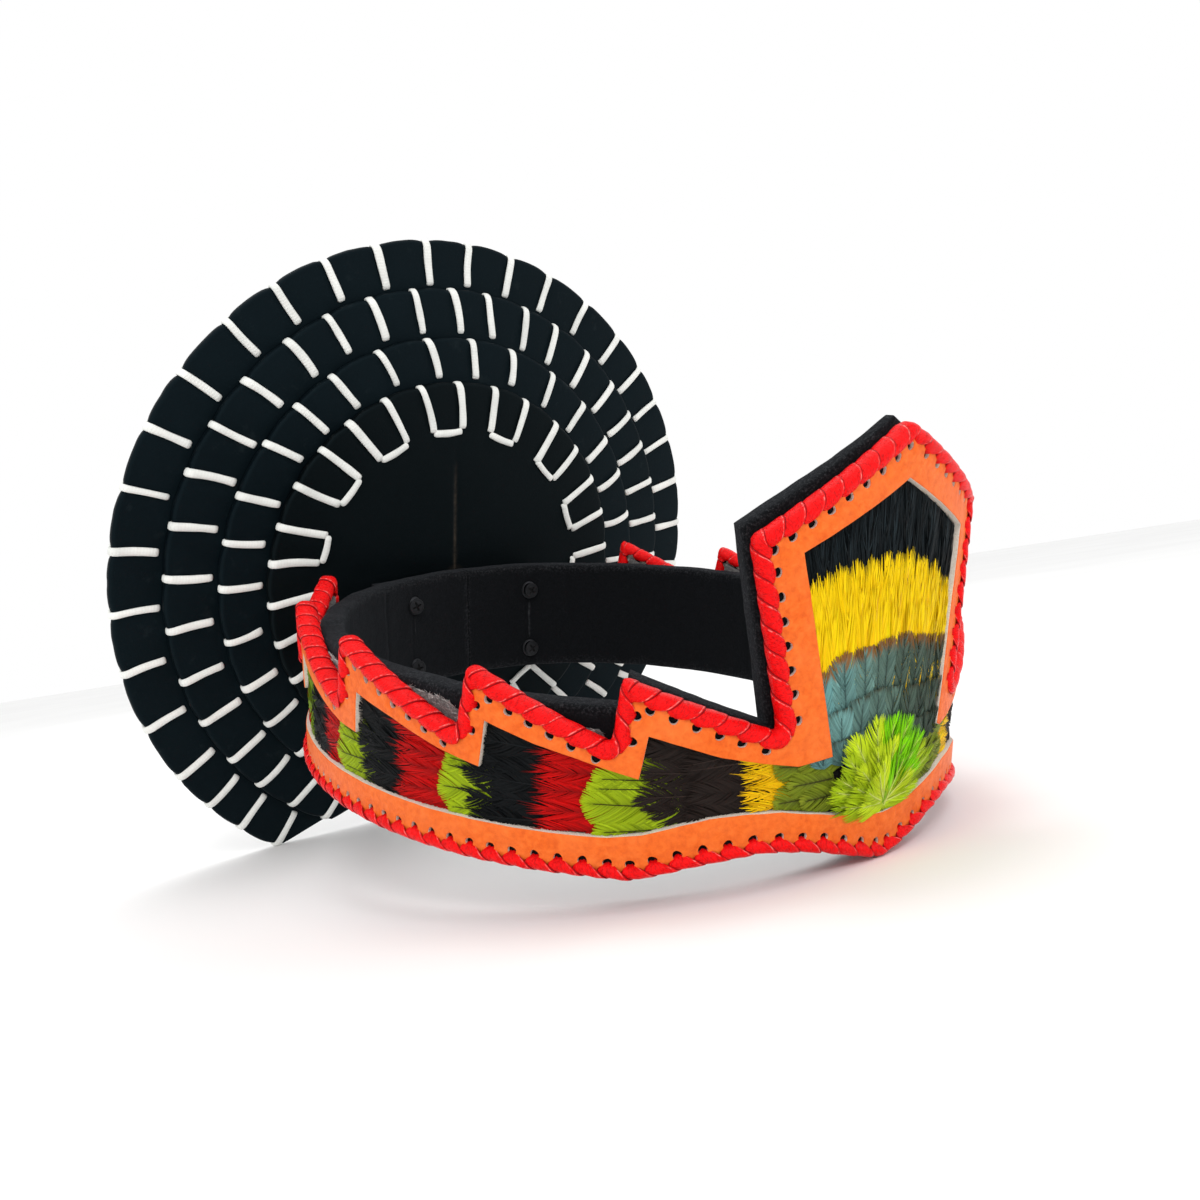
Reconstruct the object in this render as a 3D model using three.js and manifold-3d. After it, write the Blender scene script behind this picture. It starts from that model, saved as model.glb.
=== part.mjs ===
// Feathered dance headdress: padded oval head band with a crest, a laced leather and
// feather front, and a stepped round fan of four boards screwed to the back of the band.
//
// Band frame: X = wearer's left, -Y = front, +Z up along the head, Z = 0 at the top edge of
// the head band. The whole is then tipped forward so that it rests on the front point and on
// the two lower ends of the fan, with the floor at Z = 0. Millimetres.
import * as THREE from 'three';
import { mergeVertices } from 'three/addons/utils/BufferGeometryUtils.js';
import Module from 'manifold-3d';

const wasm = await Module();
wasm.setup();

// ---------- driving sizes ----------
const HALF_W = 98.3;            // outer face of the leather, half width of the oval
const HALF_L = 110.8;           // outer face of the leather, half length of the oval
const SKIN = 14.3;              // inner face of the band to that outer reference
const GAP = 0.3;                // gap between touching pieces
const BAND_WALL = 7.6;          // padded board, felt covered
const PAD_IN = 7.9, PAD_OUT = 10.6;        // raw felt padding under the leather
const LEATHER_IN = 11.0, LEATHER_OUT = 13.0;
const FEATHER_OUT = 12.8;       // feather field, lies in the leather's windows
const LACE_IN = 8.4, LACE_OUT = 14.6;      // lace, whipped round the edges
const LACE_W = 4.0;             // how far the lace reaches in from an edge
const FRONT_END = 262;          // arc position where the decorated front stops, each side
const STEP = 7.5;               // arc step of bent pieces

const FAN_R = [126, 109, 91.1, 75.1];      // rim radius of each fan board, rear to front
const FAN_T = 3.3;              // board thickness
const FAN_PITCH = 3.6;          // board to board
const FAN_FRONT = 106.2;        // front face of the smallest board at the fan's centre
const FAN_CZ = -3.3;            // height of the fan's centre
const FAN_LEAN = 4;             // degrees, top of the fan towards the front
const FAN_ROOF = 78;            // lower edge of the fan on its centre line, below its centre
const FAN_SLOPE = 0.365;        // fall of that lower edge towards the sides

const SCREW_X = 25.6;
const SCREW_Z = [-9.8, -33.7];
const TILT = 14.93;             // degrees, rest tilt about X
const FLOOR_CUT = 0.7;          // wear flat at the three points that rest on the floor

// Outline tables in the unrolled band: arc = distance from the front centre line along the
// outer reference oval, z = height. The teeth and the lower edges are the same on both sides;
// the crest was cut by hand and is wider and higher on the wearer's left (positive arc).
const CREST = [                 // outer edge of the crest, from the wearer's right to left
  { arc: -32.9, z: -5.8 }, { arc: -41.9, z: 41.3 }, { arc: 2.5, z: 67.0 }, { arc: 47.0, z: 45.8 }, { arc: 36.4, z: -5.2 },
];
const BOARD_CREST = [           // edge of the padded board behind it
  { arc: -34.2, z: -5.0 }, { arc: -43.3, z: 43.4 }, { arc: 3.0, z: 68.0 }, { arc: 46.3, z: 45.2 }, { arc: 35.6, z: -4.4 },
];
const TEETH = [                 // from the crest backwards
  { peakArc: 71.6, peakZ: 8.6, footArc: 74.0, footZ: -7.9 },
  { peakArc: 111.5, peakZ: 8.6, footArc: 115.5, footZ: -9.0 },
  { peakArc: 160.6, peakZ: 8.6, footArc: 163.8, footZ: -9.6 },
  { peakArc: 212.0, peakZ: 8.4, footArc: 215.0, footZ: -9.6 },
  { peakArc: 255.0, peakZ: 8.4, footArc: 258.0, footZ: -9.6 },
];
const CREST_WINDOW = [          // the opening in the crest that shows the feathers
  { arc: -18.2, z: -13.1 }, { arc: -28.9, z: 37.6 }, { arc: 2.6, z: 53.4 }, { arc: 34.6, z: 38.9 }, { arc: 26.0, z: -13.4 },
];
const WINDOW_EDGE = [           // upper edge of the side windows, from the crest backwards
  { arc: 28.0, z: -14.3 }, { arc: 37.7, z: -12.6 }, { arc: 47.7, z: -10.6 }, { arc: 57.4, z: -7.5 },
  { arc: 65.2, z: -5.2 }, { arc: 67.4, z: -16.0 }, { arc: 82.2, z: -11.7 }, { arc: 93.9, z: -8.8 },
  { arc: 106.6, z: -4.9 }, { arc: 108.6, z: -16.9 }, { arc: 121.0, z: -14.3 }, { arc: 137.6, z: -9.6 },
  { arc: 153.4, z: -6.0 }, { arc: 155.0, z: -17.6 }, { arc: 164.0, z: -16.7 }, { arc: 175.0, z: -13.8 },
  { arc: 203.6, z: -5.6 }, { arc: 205.4, z: -18.0 }, { arc: 215.0, z: -17.2 }, { arc: 225.0, z: -13.6 },
  { arc: 246.6, z: -5.8 }, { arc: 248.4, z: -17.4 },
];
const LOW_TOP = [               // top edge of the lower leather strip
  { arc: 0, z: -31.2 }, { arc: 6.2, z: -30.5 }, { arc: 20.7, z: -27.5 }, { arc: 31.9, z: -25.4 },
  { arc: 42.3, z: -25.2 }, { arc: 50.2, z: -25.8 }, { arc: 57.1, z: -27.4 }, { arc: 66.6, z: -29.9 },
  { arc: 75.0, z: -31.0 },
];
const BOTTOM = [                // lower edge of the front
  { arc: 0, z: -43.5 }, { arc: 5.3, z: -42.2 }, { arc: 10.6, z: -40.7 }, { arc: 20.1, z: -37.8 },
  { arc: 28.6, z: -36.4 }, { arc: 36.6, z: -35.6 }, { arc: 47.7, z: -37.1 }, { arc: 54.9, z: -38.4 },
  { arc: 62.0, z: -40.2 }, { arc: 69.2, z: -41.9 },  { arc: 80.0, z: -41.5 },
];

// ---------- the oval ----------
const N_TAB = 1440;
const arcTab = [0];
for (let i = 1; i <= N_TAB; i++) {
  const t0 = ((i - 1) / N_TAB) * Math.PI, t1 = (i / N_TAB) * Math.PI;
  arcTab.push(arcTab[i - 1] + Math.hypot(HALF_W * (Math.sin(t1) - Math.sin(t0)), HALF_L * (Math.cos(t1) - Math.cos(t0))));
}
const HALF_ARC = arcTab[N_TAB];
function ovalAngle(arc) {
  const a = Math.min(Math.abs(arc), HALF_ARC);
  let lo = 0, hi = N_TAB;
  while (hi - lo > 1) { const m = (lo + hi) >> 1; if (arcTab[m] <= a) lo = m; else hi = m; }
  const f = (a - arcTab[lo]) / (arcTab[hi] - arcTab[lo]);
  return Math.sign(arc) * ((lo + f) / N_TAB) * Math.PI;
}
function bend(arc, z, layer) {
  const t = ovalAngle(arc);
  const nx = Math.sin(t) / HALF_W, ny = -Math.cos(t) / HALF_L, n = Math.hypot(nx, ny), d = layer - SKIN;
  return [HALF_W * Math.sin(t) + (d * nx) / n, -HALF_L * Math.cos(t) + (d * ny) / n, z];
}

// ---------- a flat outline bent round the oval ----------
// The outline is cut into upright slabs, each slab's pieces are zipped between their two side
// chains, and the outer and inner skins are joined along every edge.
function bentPlate(outline, inner, outer, closed = false) {
  const r = (v) => Math.round(v * 1e5) / 1e5;
  const pts = outline.map(([s, z]) => [r(s), r(z)]);
  const sMin = Math.min(...pts.map((p) => p[0])), sMax = Math.max(...pts.map((p) => p[0]));
  const cuts = new Set(pts.map((p) => p[0]));
  for (let s = Math.ceil(sMin / STEP) * STEP; s < sMax; s += STEP) {
    if (pts.every((p) => Math.abs(p[0] - s) > 1.2)) cuts.add(r(s));
  }
  const S = [...cuts].sort((a, b) => a - b);
  const slabs = [];
  for (let k = 0; k + 1 < S.length; k++) {
    const a = S[k], b = S[k + 1], hits = [];
    pts.forEach((p, i) => {
      let q = pts[(i + 1) % pts.length], o = p;
      if (o[0] > q[0]) [o, q] = [q, o];
      if (q[0] - o[0] < 1e-9 || o[0] > a + 1e-7 || q[0] < b - 1e-7) return;
      const zAt = (s) => r(o[1] + ((q[1] - o[1]) * (s - o[0])) / (q[0] - o[0]));
      hits.push({ za: zAt(a), zb: zAt(b) });
    });
    hits.sort((u, v) => u.za + u.zb - v.za - v.zb);
    const traps = [];
    for (let i = 0; i + 1 < hits.length; i += 2) traps.push({ lo: hits[i], hi: hits[i + 1] });
    slabs.push(traps);
  }
  const nodes = S.map(() => new Set());
  slabs.forEach((traps, k) => traps.forEach((t) => {
    nodes[k].add(t.lo.za).add(t.hi.za);
    nodes[k + 1].add(t.lo.zb).add(t.hi.zb);
  }));
  if (closed) { nodes[0].forEach((z) => nodes[S.length - 1].add(z)); nodes[S.length - 1].forEach((z) => nodes[0].add(z)); }
  const sorted = nodes.map((n) => [...n].sort((a, b) => a - b));
  const pos = [], index = [], seen = new Map();
  const vert = (k, z, layer) => {
    const kk = closed && k === S.length - 1 ? 0 : k, key = kk + '|' + z + '|' + layer;
    if (!seen.has(key)) { seen.set(key, pos.length / 3); pos.push(...bend(S[kk], z, layer)); }
    return seen.get(key);
  };
  const tri = (a, b, c) => { if (a !== b && b !== c && a !== c) index.push(a, b, c); };
  const quad = (a, b, c, d) => { tri(a, b, c); tri(a, c, d); };
  slabs.forEach((traps, k) => traps.forEach((t) => {
    const L = sorted[k].filter((z) => z >= t.lo.za && z <= t.hi.za), R = sorted[k + 1].filter((z) => z >= t.lo.zb && z <= t.hi.zb);
    for (let i = 0, j = 0; i < L.length - 1 || j < R.length - 1;) {
      const right = i === L.length - 1 || (j < R.length - 1 && (j + 1) * (L.length - 1) <= (i + 1) * (R.length - 1));
      const z3 = right ? [k + 1, R[j + 1]] : [k, L[i + 1]];
      for (const [layer, flip] of [[outer, false], [inner, true]]) {
        const a = vert(k, L[i], layer), b = vert(k + 1, R[j], layer), c = vert(z3[0], z3[1], layer);
        if (flip) tri(a, c, b); else tri(a, b, c);
      }
      if (right) j++; else i++;
    }
    const v = (kk, z, layer) => vert(kk, z, layer);
    quad(v(k + 1, t.lo.zb, outer), v(k, t.lo.za, outer), v(k, t.lo.za, inner), v(k + 1, t.lo.zb, inner));
    quad(v(k, t.hi.za, outer), v(k + 1, t.hi.zb, outer), v(k + 1, t.hi.zb, inner), v(k, t.hi.za, inner));
  }));
  S.forEach((s, k) => {
    if (closed && (k === 0 || k === S.length - 1)) return;
    const inside = (traps, za, mid) => (traps || []).some((t) => mid > t.lo[za] && mid < t.hi[za]);
    for (let i = 0; i + 1 < sorted[k].length; i++) {
      const l = sorted[k][i], u = sorted[k][i + 1], mid = (l + u) / 2;
      const left = inside(slabs[k - 1], 'zb', mid), right = inside(slabs[k], 'za', mid);
      if (left === right) continue;
      if (right) quad(vert(k, l, outer), vert(k, u, outer), vert(k, u, inner), vert(k, l, inner));
      else quad(vert(k, u, outer), vert(k, l, outer), vert(k, l, inner), vert(k, u, inner));
    }
  });
  const g = new THREE.BufferGeometry();
  g.setAttribute('position', new THREE.Float32BufferAttribute(pos, 3));
  g.setIndex(index);
  return g;
}

// ---------- outlines ----------
const mirror = (left) => [...left.map(([s, z]) => [-s, z]).reverse(), ...left.filter(([s]) => s > 1e-6)];
const shift = (path, dz) => path.map(([s, z]) => [s, z + dz]);
// moves an open path sideways by d, mitred; positive d moves it down for a left-to-right path
function inset(path, d) {
  const dir = path.slice(1).map((p, i) => {
    const dx = p[0] - path[i][0], dz = p[1] - path[i][1], l = Math.hypot(dx, dz);
    return [dz / l, -dx / l];
  });
  return path.map((p, i) => {
    const a = dir[Math.max(0, i - 1)], b = dir[Math.min(dir.length - 1, i)];
    const k = 1 + a[0] * b[0] + a[1] * b[1];
    return [p[0] + (d * (a[0] + b[0])) / k, p[1] + (d * (a[1] + b[1])) / k];
  });
}
const rows = (t) => t.map((p) => [p.arc, p.z]);
const toothLine = TEETH.flatMap((t) => [[t.peakArc, t.peakZ], [t.footArc, t.footZ]]);
// a crest table in the middle, with one side table after it and its mirror image before it
const around = (middle, side) => [...side.map(([s, z]) => [-s, z]).reverse(), ...rows(middle), ...side];
const topPath = around(CREST, [...toothLine, [FRONT_END, -9.6]]);
const winPath = around(CREST_WINDOW, [...rows(WINDOW_EDGE), [FRONT_END, -17.4]]);
const lowTopPath = mirror([...rows(LOW_TOP), [FRONT_END, -31]]);
const bottomPath = mirror([...rows(BOTTOM), [FRONT_END, -41.5]]);
const ring = (upper, lower) => [...upper, ...[...lower].reverse()];
const ends = (path, d) => path.map(([s, z]) => [Math.max(-FRONT_END + d, Math.min(FRONT_END - d, s)), z]);

const laceTopInner = inset(topPath, LACE_W), leatherTop = inset(topPath, LACE_W + GAP);
const outlines = {
  laceTop: ring(topPath, laceTopInner),
  laceBottom: ring(shift(bottomPath, LACE_W), bottomPath),
  frameUpper: ring(ends(leatherTop, 0.2), ends(winPath, 0.2)),
  frameLower: ring(ends(lowTopPath, 0.2), ends(shift(bottomPath, LACE_W + GAP), 0.2)),
  feather: ring(ends(inset(winPath, GAP), 0.6), ends(shift(lowTopPath, GAP), 0.6)),
  padding: ring(ends(inset(topPath, LACE_W + 0.6), 0.6), ends(shift(bottomPath, LACE_W + 0.6), 0.6)),
};
const t1 = TEETH[0];
const boardTop = around(BOARD_CREST, [[t1.peakArc - 0.8, t1.peakZ - 0.7], [t1.peakArc + 0.4, 0], [HALF_ARC, 0]]);
const boardBottom = mirror([...rows(BOTTOM).map(([s, z]) => [s, z + 1]), [120, -41.5], [HALF_ARC, -41.5]]);

// ---------- solids with manifold ----------
function solid(geometry) {
  let g = geometry.clone();
  g.deleteAttribute('normal'); g.deleteAttribute('uv');
  g = mergeVertices(g, 1e-4);
  const m = new wasm.Mesh({ numProp: 3, vertProperties: new Float32Array(g.attributes.position.array), triVerts: new Uint32Array(g.index.array) });
  return new wasm.Manifold(m);
}
function geometryOf(manifold) {
  const m = manifold.getMesh(), g = new THREE.BufferGeometry();
  g.setAttribute('position', new THREE.Float32BufferAttribute(m.vertProperties, 3));
  g.setIndex([...m.triVerts]);
  return g;
}
function ovalPrism(layer, z0, z1) {
  const s = new THREE.Shape();
  for (let i = 0; i < 120; i++) {
    const p = bend(-HALF_ARC + (2 * HALF_ARC * i) / 120, 0, layer);
    if (i === 0) s.moveTo(p[0], p[1]); else s.lineTo(p[0], p[1]);
  }
  return new THREE.ExtrudeGeometry(s, { depth: z1 - z0, bevelEnabled: false, steps: 1 }).translate(0, 0, z0);
}
function cylinderY(radius, y0, y1, x, z, sides = 14) {
  return new THREE.CylinderGeometry(radius, radius, y1 - y0, sides, 1).translate(x, (y0 + y1) / 2, z);
}
const innerY = (x, layer) => { let best = 1e9, y = 0; for (let a = 200; a <= HALF_ARC; a += 0.25) { const p = bend(a, 0, layer); if (Math.abs(p[0] - x) < best) { best = Math.abs(p[0] - x); y = p[1]; } } return y; };
const screwSpots = [];
for (const z of SCREW_Z) for (const x of [-SCREW_X, SCREW_X]) screwSpots.push({ x, z });
const screwHeadY = innerY(SCREW_X, 0) - 0.5;
const screwEndY = FAN_FRONT + 3 * FAN_PITCH - 0.4;
const drill = (m, from = screwHeadY - 4) => screwSpots.reduce((acc, s) => acc.subtract(solid(cylinderY(1.8, from, screwEndY + 2.2, s.x, s.z, 10))), m);

// ---------- fan boards ----------
const lean = THREE.MathUtils.degToRad(FAN_LEAN);
function placeFan(g) { return g.translate(0, -FAN_FRONT, 0).rotateX(lean).translate(0, FAN_FRONT, FAN_CZ); }
function fanOutline(radius, roof) {
  const s = new THREE.Shape(), edge = (x) => -(roof + FAN_SLOPE * Math.abs(x));
  let a = -90; while (radius * Math.sin((a * Math.PI) / 180) < edge(radius * Math.cos((a * Math.PI) / 180)) - 0.01) a += 0.25;
  const c = 1.6 * (180 / Math.PI) / radius, n = 84, pts = [];
  const ax = radius * Math.cos((a * Math.PI) / 180);
  pts.push([ax - 3.2, edge(ax - 3.2)], [ax - 0.6, edge(ax) + 0.1]);
  for (let i = 0; i <= n; i++) {
    const t = ((a + c + ((180 - 2 * a - 2 * c) * i) / n) * Math.PI) / 180;
    pts.push([radius * Math.cos(t), radius * Math.sin(t)]);
  }
  pts.push([-(ax - 0.6), edge(ax) + 0.1], [-(ax - 3.2), edge(ax - 3.2)], [0, -roof]);
  pts.forEach(([x, y], i) => (i ? s.lineTo(x, y) : s.moveTo(x, y)));
  return s;
}
function fanBoard(index) {           // 0 = rearmost, largest
  const front = FAN_FRONT + (3 - index) * FAN_PITCH;
  const roof = index === 3 ? FAN_ROOF - 3.5 : FAN_ROOF;
  const g = index === 3
    ? new THREE.ExtrudeGeometry(new THREE.Shape(Array.from({ length: 84 }, (_, i) => new THREE.Vector2(FAN_R[3] * Math.cos((i / 42) * Math.PI), FAN_R[3] * Math.sin((i / 42) * Math.PI)))), { depth: FAN_T, bevelEnabled: false, steps: 1 })
    : new THREE.ExtrudeGeometry(fanOutline(FAN_R[index], roof), { depth: FAN_T, bevelEnabled: false, steps: 1 });
  // the outline is drawn in XY and extruded along Z; stood up so that Y is height and Z is depth
  g.rotateX(Math.PI / 2).translate(0, front + FAN_T, 0);
  return placeFan(g);
}

// ---------- rest pose ----------
const tilt = THREE.MathUtils.degToRad(TILT);
const rest = new THREE.Group();
rest.rotation.x = tilt;
const frontTip = new THREE.Vector3(...bend(0, BOTTOM[0].z, LACE_OUT)).applyAxisAngle(new THREE.Vector3(1, 0, 0), tilt);
const foot = fanBoard(0);
foot.rotateX(tilt);
const footZ = Math.min(...Array.from({ length: foot.attributes.position.count }, (_, i) => foot.attributes.position.getZ(i)));
const FLOOR_Z = Math.max(footZ, frontTip.z) + FLOOR_CUT;
const overall = new THREE.Box3().setFromBufferAttribute(foot.attributes.position);
const crestTop = new THREE.Vector3(...bend(CREST[2].arc, CREST[2].z, LACE_OUT)).applyAxisAngle(new THREE.Vector3(1, 0, 0), tilt);
const CENTRE_Y = (Math.min(crestTop.y, frontTip.y) + overall.max.y) / 2;
rest.position.set(0, -CENTRE_Y, -FLOOR_Z);

// everything under the floor plane is worn away (band frame)
const floorBlock = new THREE.BoxGeometry(600, 600, 100).translate(0, CENTRE_Y, FLOOR_Z - 50).rotateX(-tilt);
const onFloor = (m) => m.subtract(solid(floorBlock));

// ---------- pieces ----------
const mat = (color, roughness, metalness = 0) => new THREE.MeshStandardMaterial({ color, roughness, metalness });
const group = new THREE.Group();
group.add(rest);
function piece(name, geometry, material) {
  const mesh = new THREE.Mesh(geometry, material);
  mesh.name = name;
  rest.add(mesh);
  return mesh;
}

const black = 0x0b0d0f, boardBlack = 0x10181b, red = 0xe0262e, orange = 0xf4762f, felt = 0x6f6a66;
piece('head_band', geometryOf(drill(solid(bentPlate(ring(boardTop, boardBottom), 0, BAND_WALL, true)))), mat(black, 0.95));
piece('side_padding', bentPlate(outlines.padding, PAD_IN, PAD_OUT), mat(felt, 1));
piece('frame_upper', bentPlate(outlines.frameUpper, LEATHER_IN, LEATHER_OUT), mat(orange, 0.55));
piece('frame_lower', bentPlate(outlines.frameLower, LEATHER_IN, LEATHER_OUT), mat(orange, 0.55));
piece('feather_panel', bentPlate(outlines.feather, LEATHER_IN, FEATHER_OUT), mat(0x23251c, 0.8));
piece('lace_top', bentPlate(outlines.laceTop, LACE_IN, LACE_OUT), mat(red, 0.5));
piece('lace_bottom', geometryOf(onFloor(solid(bentPlate(outlines.laceBottom, LACE_IN, LACE_OUT)))), mat(red, 0.5));

const tuftBall = new THREE.SphereGeometry(1, 20, 14).scale(18, 6.5, 13).translate(0, -HALF_L + 2.0, -17.5);
piece('front_tuft', geometryOf(solid(tuftBall).subtract(solid(ovalPrism(LEATHER_OUT + GAP, -60, 40)))), mat(0x9ccc26, 0.85));

const names = ['fan_tier_1', 'fan_tier_2', 'fan_tier_3', 'fan_tier_4'];
names.forEach((name, i) => {
  let m = solid(fanBoard(i));
  if (i > 0) m = drill(m);
  if (i === 0) m = onFloor(m);
  piece(name, geometryOf(m), mat(boardBlack, 0.6));
});

const spacerBox = new THREE.BoxGeometry(72, 40, 37.5).translate(0, FAN_FRONT - GAP - 20, -21.2 + 3.3);
placeFan(spacerBox);
piece('rear_spacer', geometryOf(drill(solid(spacerBox).subtract(solid(ovalPrism(BAND_WALL + GAP, -80, 40))))), mat(black, 0.95));

screwSpots.forEach((s, i) => {
  const shank = solid(cylinderY(1.4, screwHeadY - 0.6, screwEndY, s.x, s.z, 10));
  const head = new THREE.LatheGeometry([[0, 0], [2.9, 0], [2.9, 0.7], [2.2, 1.5], [0, 1.8]].map(([a, b]) => new THREE.Vector2(a, b)), 16)
    .rotateX(Math.PI).translate(s.x, screwHeadY - 0.6, s.z);
  let m = solid(head).add(shank);
  for (const turn of [0.4, 0.4 + Math.PI / 2]) {
    m = m.subtract(solid(new THREE.BoxGeometry(3.2, 1.6, 0.7).rotateY(turn).translate(s.x, screwHeadY - 2.4, s.z)));
  }
  piece('screw_' + (i + 1), geometryOf(m), mat(0x3a3a3c, 0.4, 0.9));
});

export default group;
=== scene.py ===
import bpy, math
import numpy as np
from mathutils import Vector, Matrix
from mathutils.geometry import delaunay_2d_cdt

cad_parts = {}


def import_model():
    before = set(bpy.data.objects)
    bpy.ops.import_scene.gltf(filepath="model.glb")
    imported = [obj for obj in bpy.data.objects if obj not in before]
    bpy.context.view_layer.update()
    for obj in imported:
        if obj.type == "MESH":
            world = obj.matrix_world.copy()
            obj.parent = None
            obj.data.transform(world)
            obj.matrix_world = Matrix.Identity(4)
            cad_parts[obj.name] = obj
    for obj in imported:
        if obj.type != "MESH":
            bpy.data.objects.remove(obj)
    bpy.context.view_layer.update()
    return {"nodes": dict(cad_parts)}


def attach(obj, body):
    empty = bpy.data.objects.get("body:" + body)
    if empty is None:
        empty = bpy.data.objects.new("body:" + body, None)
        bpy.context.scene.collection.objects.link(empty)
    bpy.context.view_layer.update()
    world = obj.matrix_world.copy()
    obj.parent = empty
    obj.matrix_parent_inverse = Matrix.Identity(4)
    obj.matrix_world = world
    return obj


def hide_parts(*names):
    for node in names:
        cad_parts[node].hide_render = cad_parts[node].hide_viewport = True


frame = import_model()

D2R = math.pi / 180

# ------------------------------------------------------------------ sizes (mm, band frame)
HALF_W, HALF_L, SKIN = 98.3, 110.8, 14.3
BAND_WALL = 7.6
FRONT_END = 262.0
FAN_R = [126.0, 109.0, 91.1, 75.1]
FAN_T, FAN_PITCH, FAN_FRONT, FAN_CZ, FAN_LEAN = 3.3, 3.6, 106.2, -3.3, 4.0
FAN_ROOF, FAN_SLOPE = 78.0, 0.365
SCREW_X, SCREW_Z = 25.6, (-9.8, -33.7)
TILT = 14.93
REST_Y, REST_Z = -12.9742, 69.9507
CREST = [(-32.9, -5.8), (-41.9, 41.3), (2.5, 67.0), (47.0, 45.8), (36.4, -5.2)]
BOARD_CREST = [(-34.2, -5.0), (-43.3, 43.4), (3.0, 68.0), (46.3, 45.2), (35.6, -4.4)]
CREST_WINDOW = [(-18.2, -13.1), (-28.9, 37.6), (2.6, 53.4), (34.6, 38.9), (26.0, -13.4)]
TEETH = [(71.6, 8.6, 74.0, -7.9), (111.5, 8.6, 115.5, -9.0), (160.6, 8.6, 163.8, -9.6), (212.0, 8.4, 215.0, -9.6), (255.0, 8.4, 258.0, -9.6)]
WINDOW_EDGE = [(28.0, -14.3), (37.7, -12.6), (47.7, -10.6), (57.4, -7.5), (65.2, -5.2), (67.4, -16.0),
          (82.2, -11.7), (93.9, -8.8), (106.6, -4.9), (108.6, -16.9), (121.0, -14.3), (137.6, -9.6), (153.4, -6.0), (155.0, -17.6),
          (164.0, -16.7), (175.0, -13.8), (203.6, -5.6), (205.4, -18.0), (215.0, -17.2), (225.0, -13.6), (246.6, -5.8), (248.4, -17.4), (FRONT_END - .3, -17.4)]
LOW_TOP = [(0, -31.2), (6.2, -30.5), (20.7, -27.5), (31.9, -25.4), (42.3, -25.2), (50.2, -25.8), (57.1, -27.4), (66.6, -29.9), (75.0, -31.0), (FRONT_END - .3, -31.0)]
BOTTOM = [(0, -43.5), (5.3, -42.2), (10.6, -40.7), (20.1, -37.8), (28.6, -36.4), (36.6, -35.6), (47.7, -37.1), (54.9, -38.4), (62.0, -40.2), (69.2, -41.9), (80.0, -41.5), (FRONT_END, -41.5)]
TOOTH_LINE = [p for t in TEETH for p in ((t[0], t[1]), (t[2], t[3]))] + [(FRONT_END, -9.6)]


def mirror(left):
    return [(-s, z) for s, z in reversed(left)] + [(s, z) for s, z in left if s > 1e-6]


def around(middle, side):
    return np.array([(-s, z) for s, z in reversed(side)] + middle + side, float)


TOP_P, WIN_P = around(CREST, TOOTH_LINE), around(CREST_WINDOW, WINDOW_EDGE)
LOW_P, BOT_P = (np.array(mirror(p), float) for p in (LOW_TOP, BOTTOM))

# ------------------------------------------------------------------ oval and rest pose
_t = np.linspace(0, math.pi, 2881)
_xy = np.stack([HALF_W * np.sin(_t), -HALF_L * np.cos(_t)], 1)
_arc = np.concatenate([[0], np.cumsum(np.linalg.norm(np.diff(_xy, axis=0), axis=1))])
HALF_ARC = float(_arc[-1])


def bend(s, z, l):
    """arc, height, layer -> band frame, mm"""
    s, z, l = (np.asarray(v, float) for v in np.broadcast_arrays(s, z, l))
    t = np.sign(s) * np.interp(np.abs(s), _arc, _t)
    nx, ny = np.sin(t) / HALF_W, -np.cos(t) / HALF_L
    n = np.hypot(nx, ny); d = l - SKIN
    return np.stack([HALF_W * np.sin(t) + d * nx / n, -HALF_L * np.cos(t) + d * ny / n, z], -1)


def world(P):
    """band frame mm -> row frame m"""
    P = np.asarray(P, float); c, s = math.cos(TILT * D2R), math.sin(TILT * D2R)
    return np.stack([P[..., 0], P[..., 1] * c - P[..., 2] * s + REST_Y, P[..., 1] * s + P[..., 2] * c + REST_Z], -1) / 1000


def fan(x, w, depth):
    """fan plane: sideways, height on the board, depth behind the smallest board's face -> band frame"""
    c, s = math.cos(FAN_LEAN * D2R), math.sin(FAN_LEAN * D2R)
    x, w, depth = np.broadcast_arrays(np.asarray(x, float), w, depth)
    return np.stack([x, FAN_FRONT + depth * c - w * s, FAN_CZ + depth * s + w * c], -1)


def _hash(i, j, seed):
    h = np.sin(i * 127.1 + j * 311.7 + seed * 74.7) * 43758.5453
    return h - np.floor(h)


def vnoise(x, y, seed=0):
    """smooth value noise, -1..1"""
    x, y = np.broadcast_arrays(np.asarray(x, float), np.asarray(y, float))
    i, j = np.floor(x), np.floor(y); fx, fy = x - i, y - j
    fx, fy = fx * fx * (3 - 2 * fx), fy * fy * (3 - 2 * fy)
    a = _hash(i, j, seed) * (1 - fx) + _hash(i + 1, j, seed) * fx
    b = _hash(i, j + 1, seed) * (1 - fx) + _hash(i + 1, j + 1, seed) * fx
    return 2 * (a * (1 - fy) + b * fy) - 1


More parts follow.
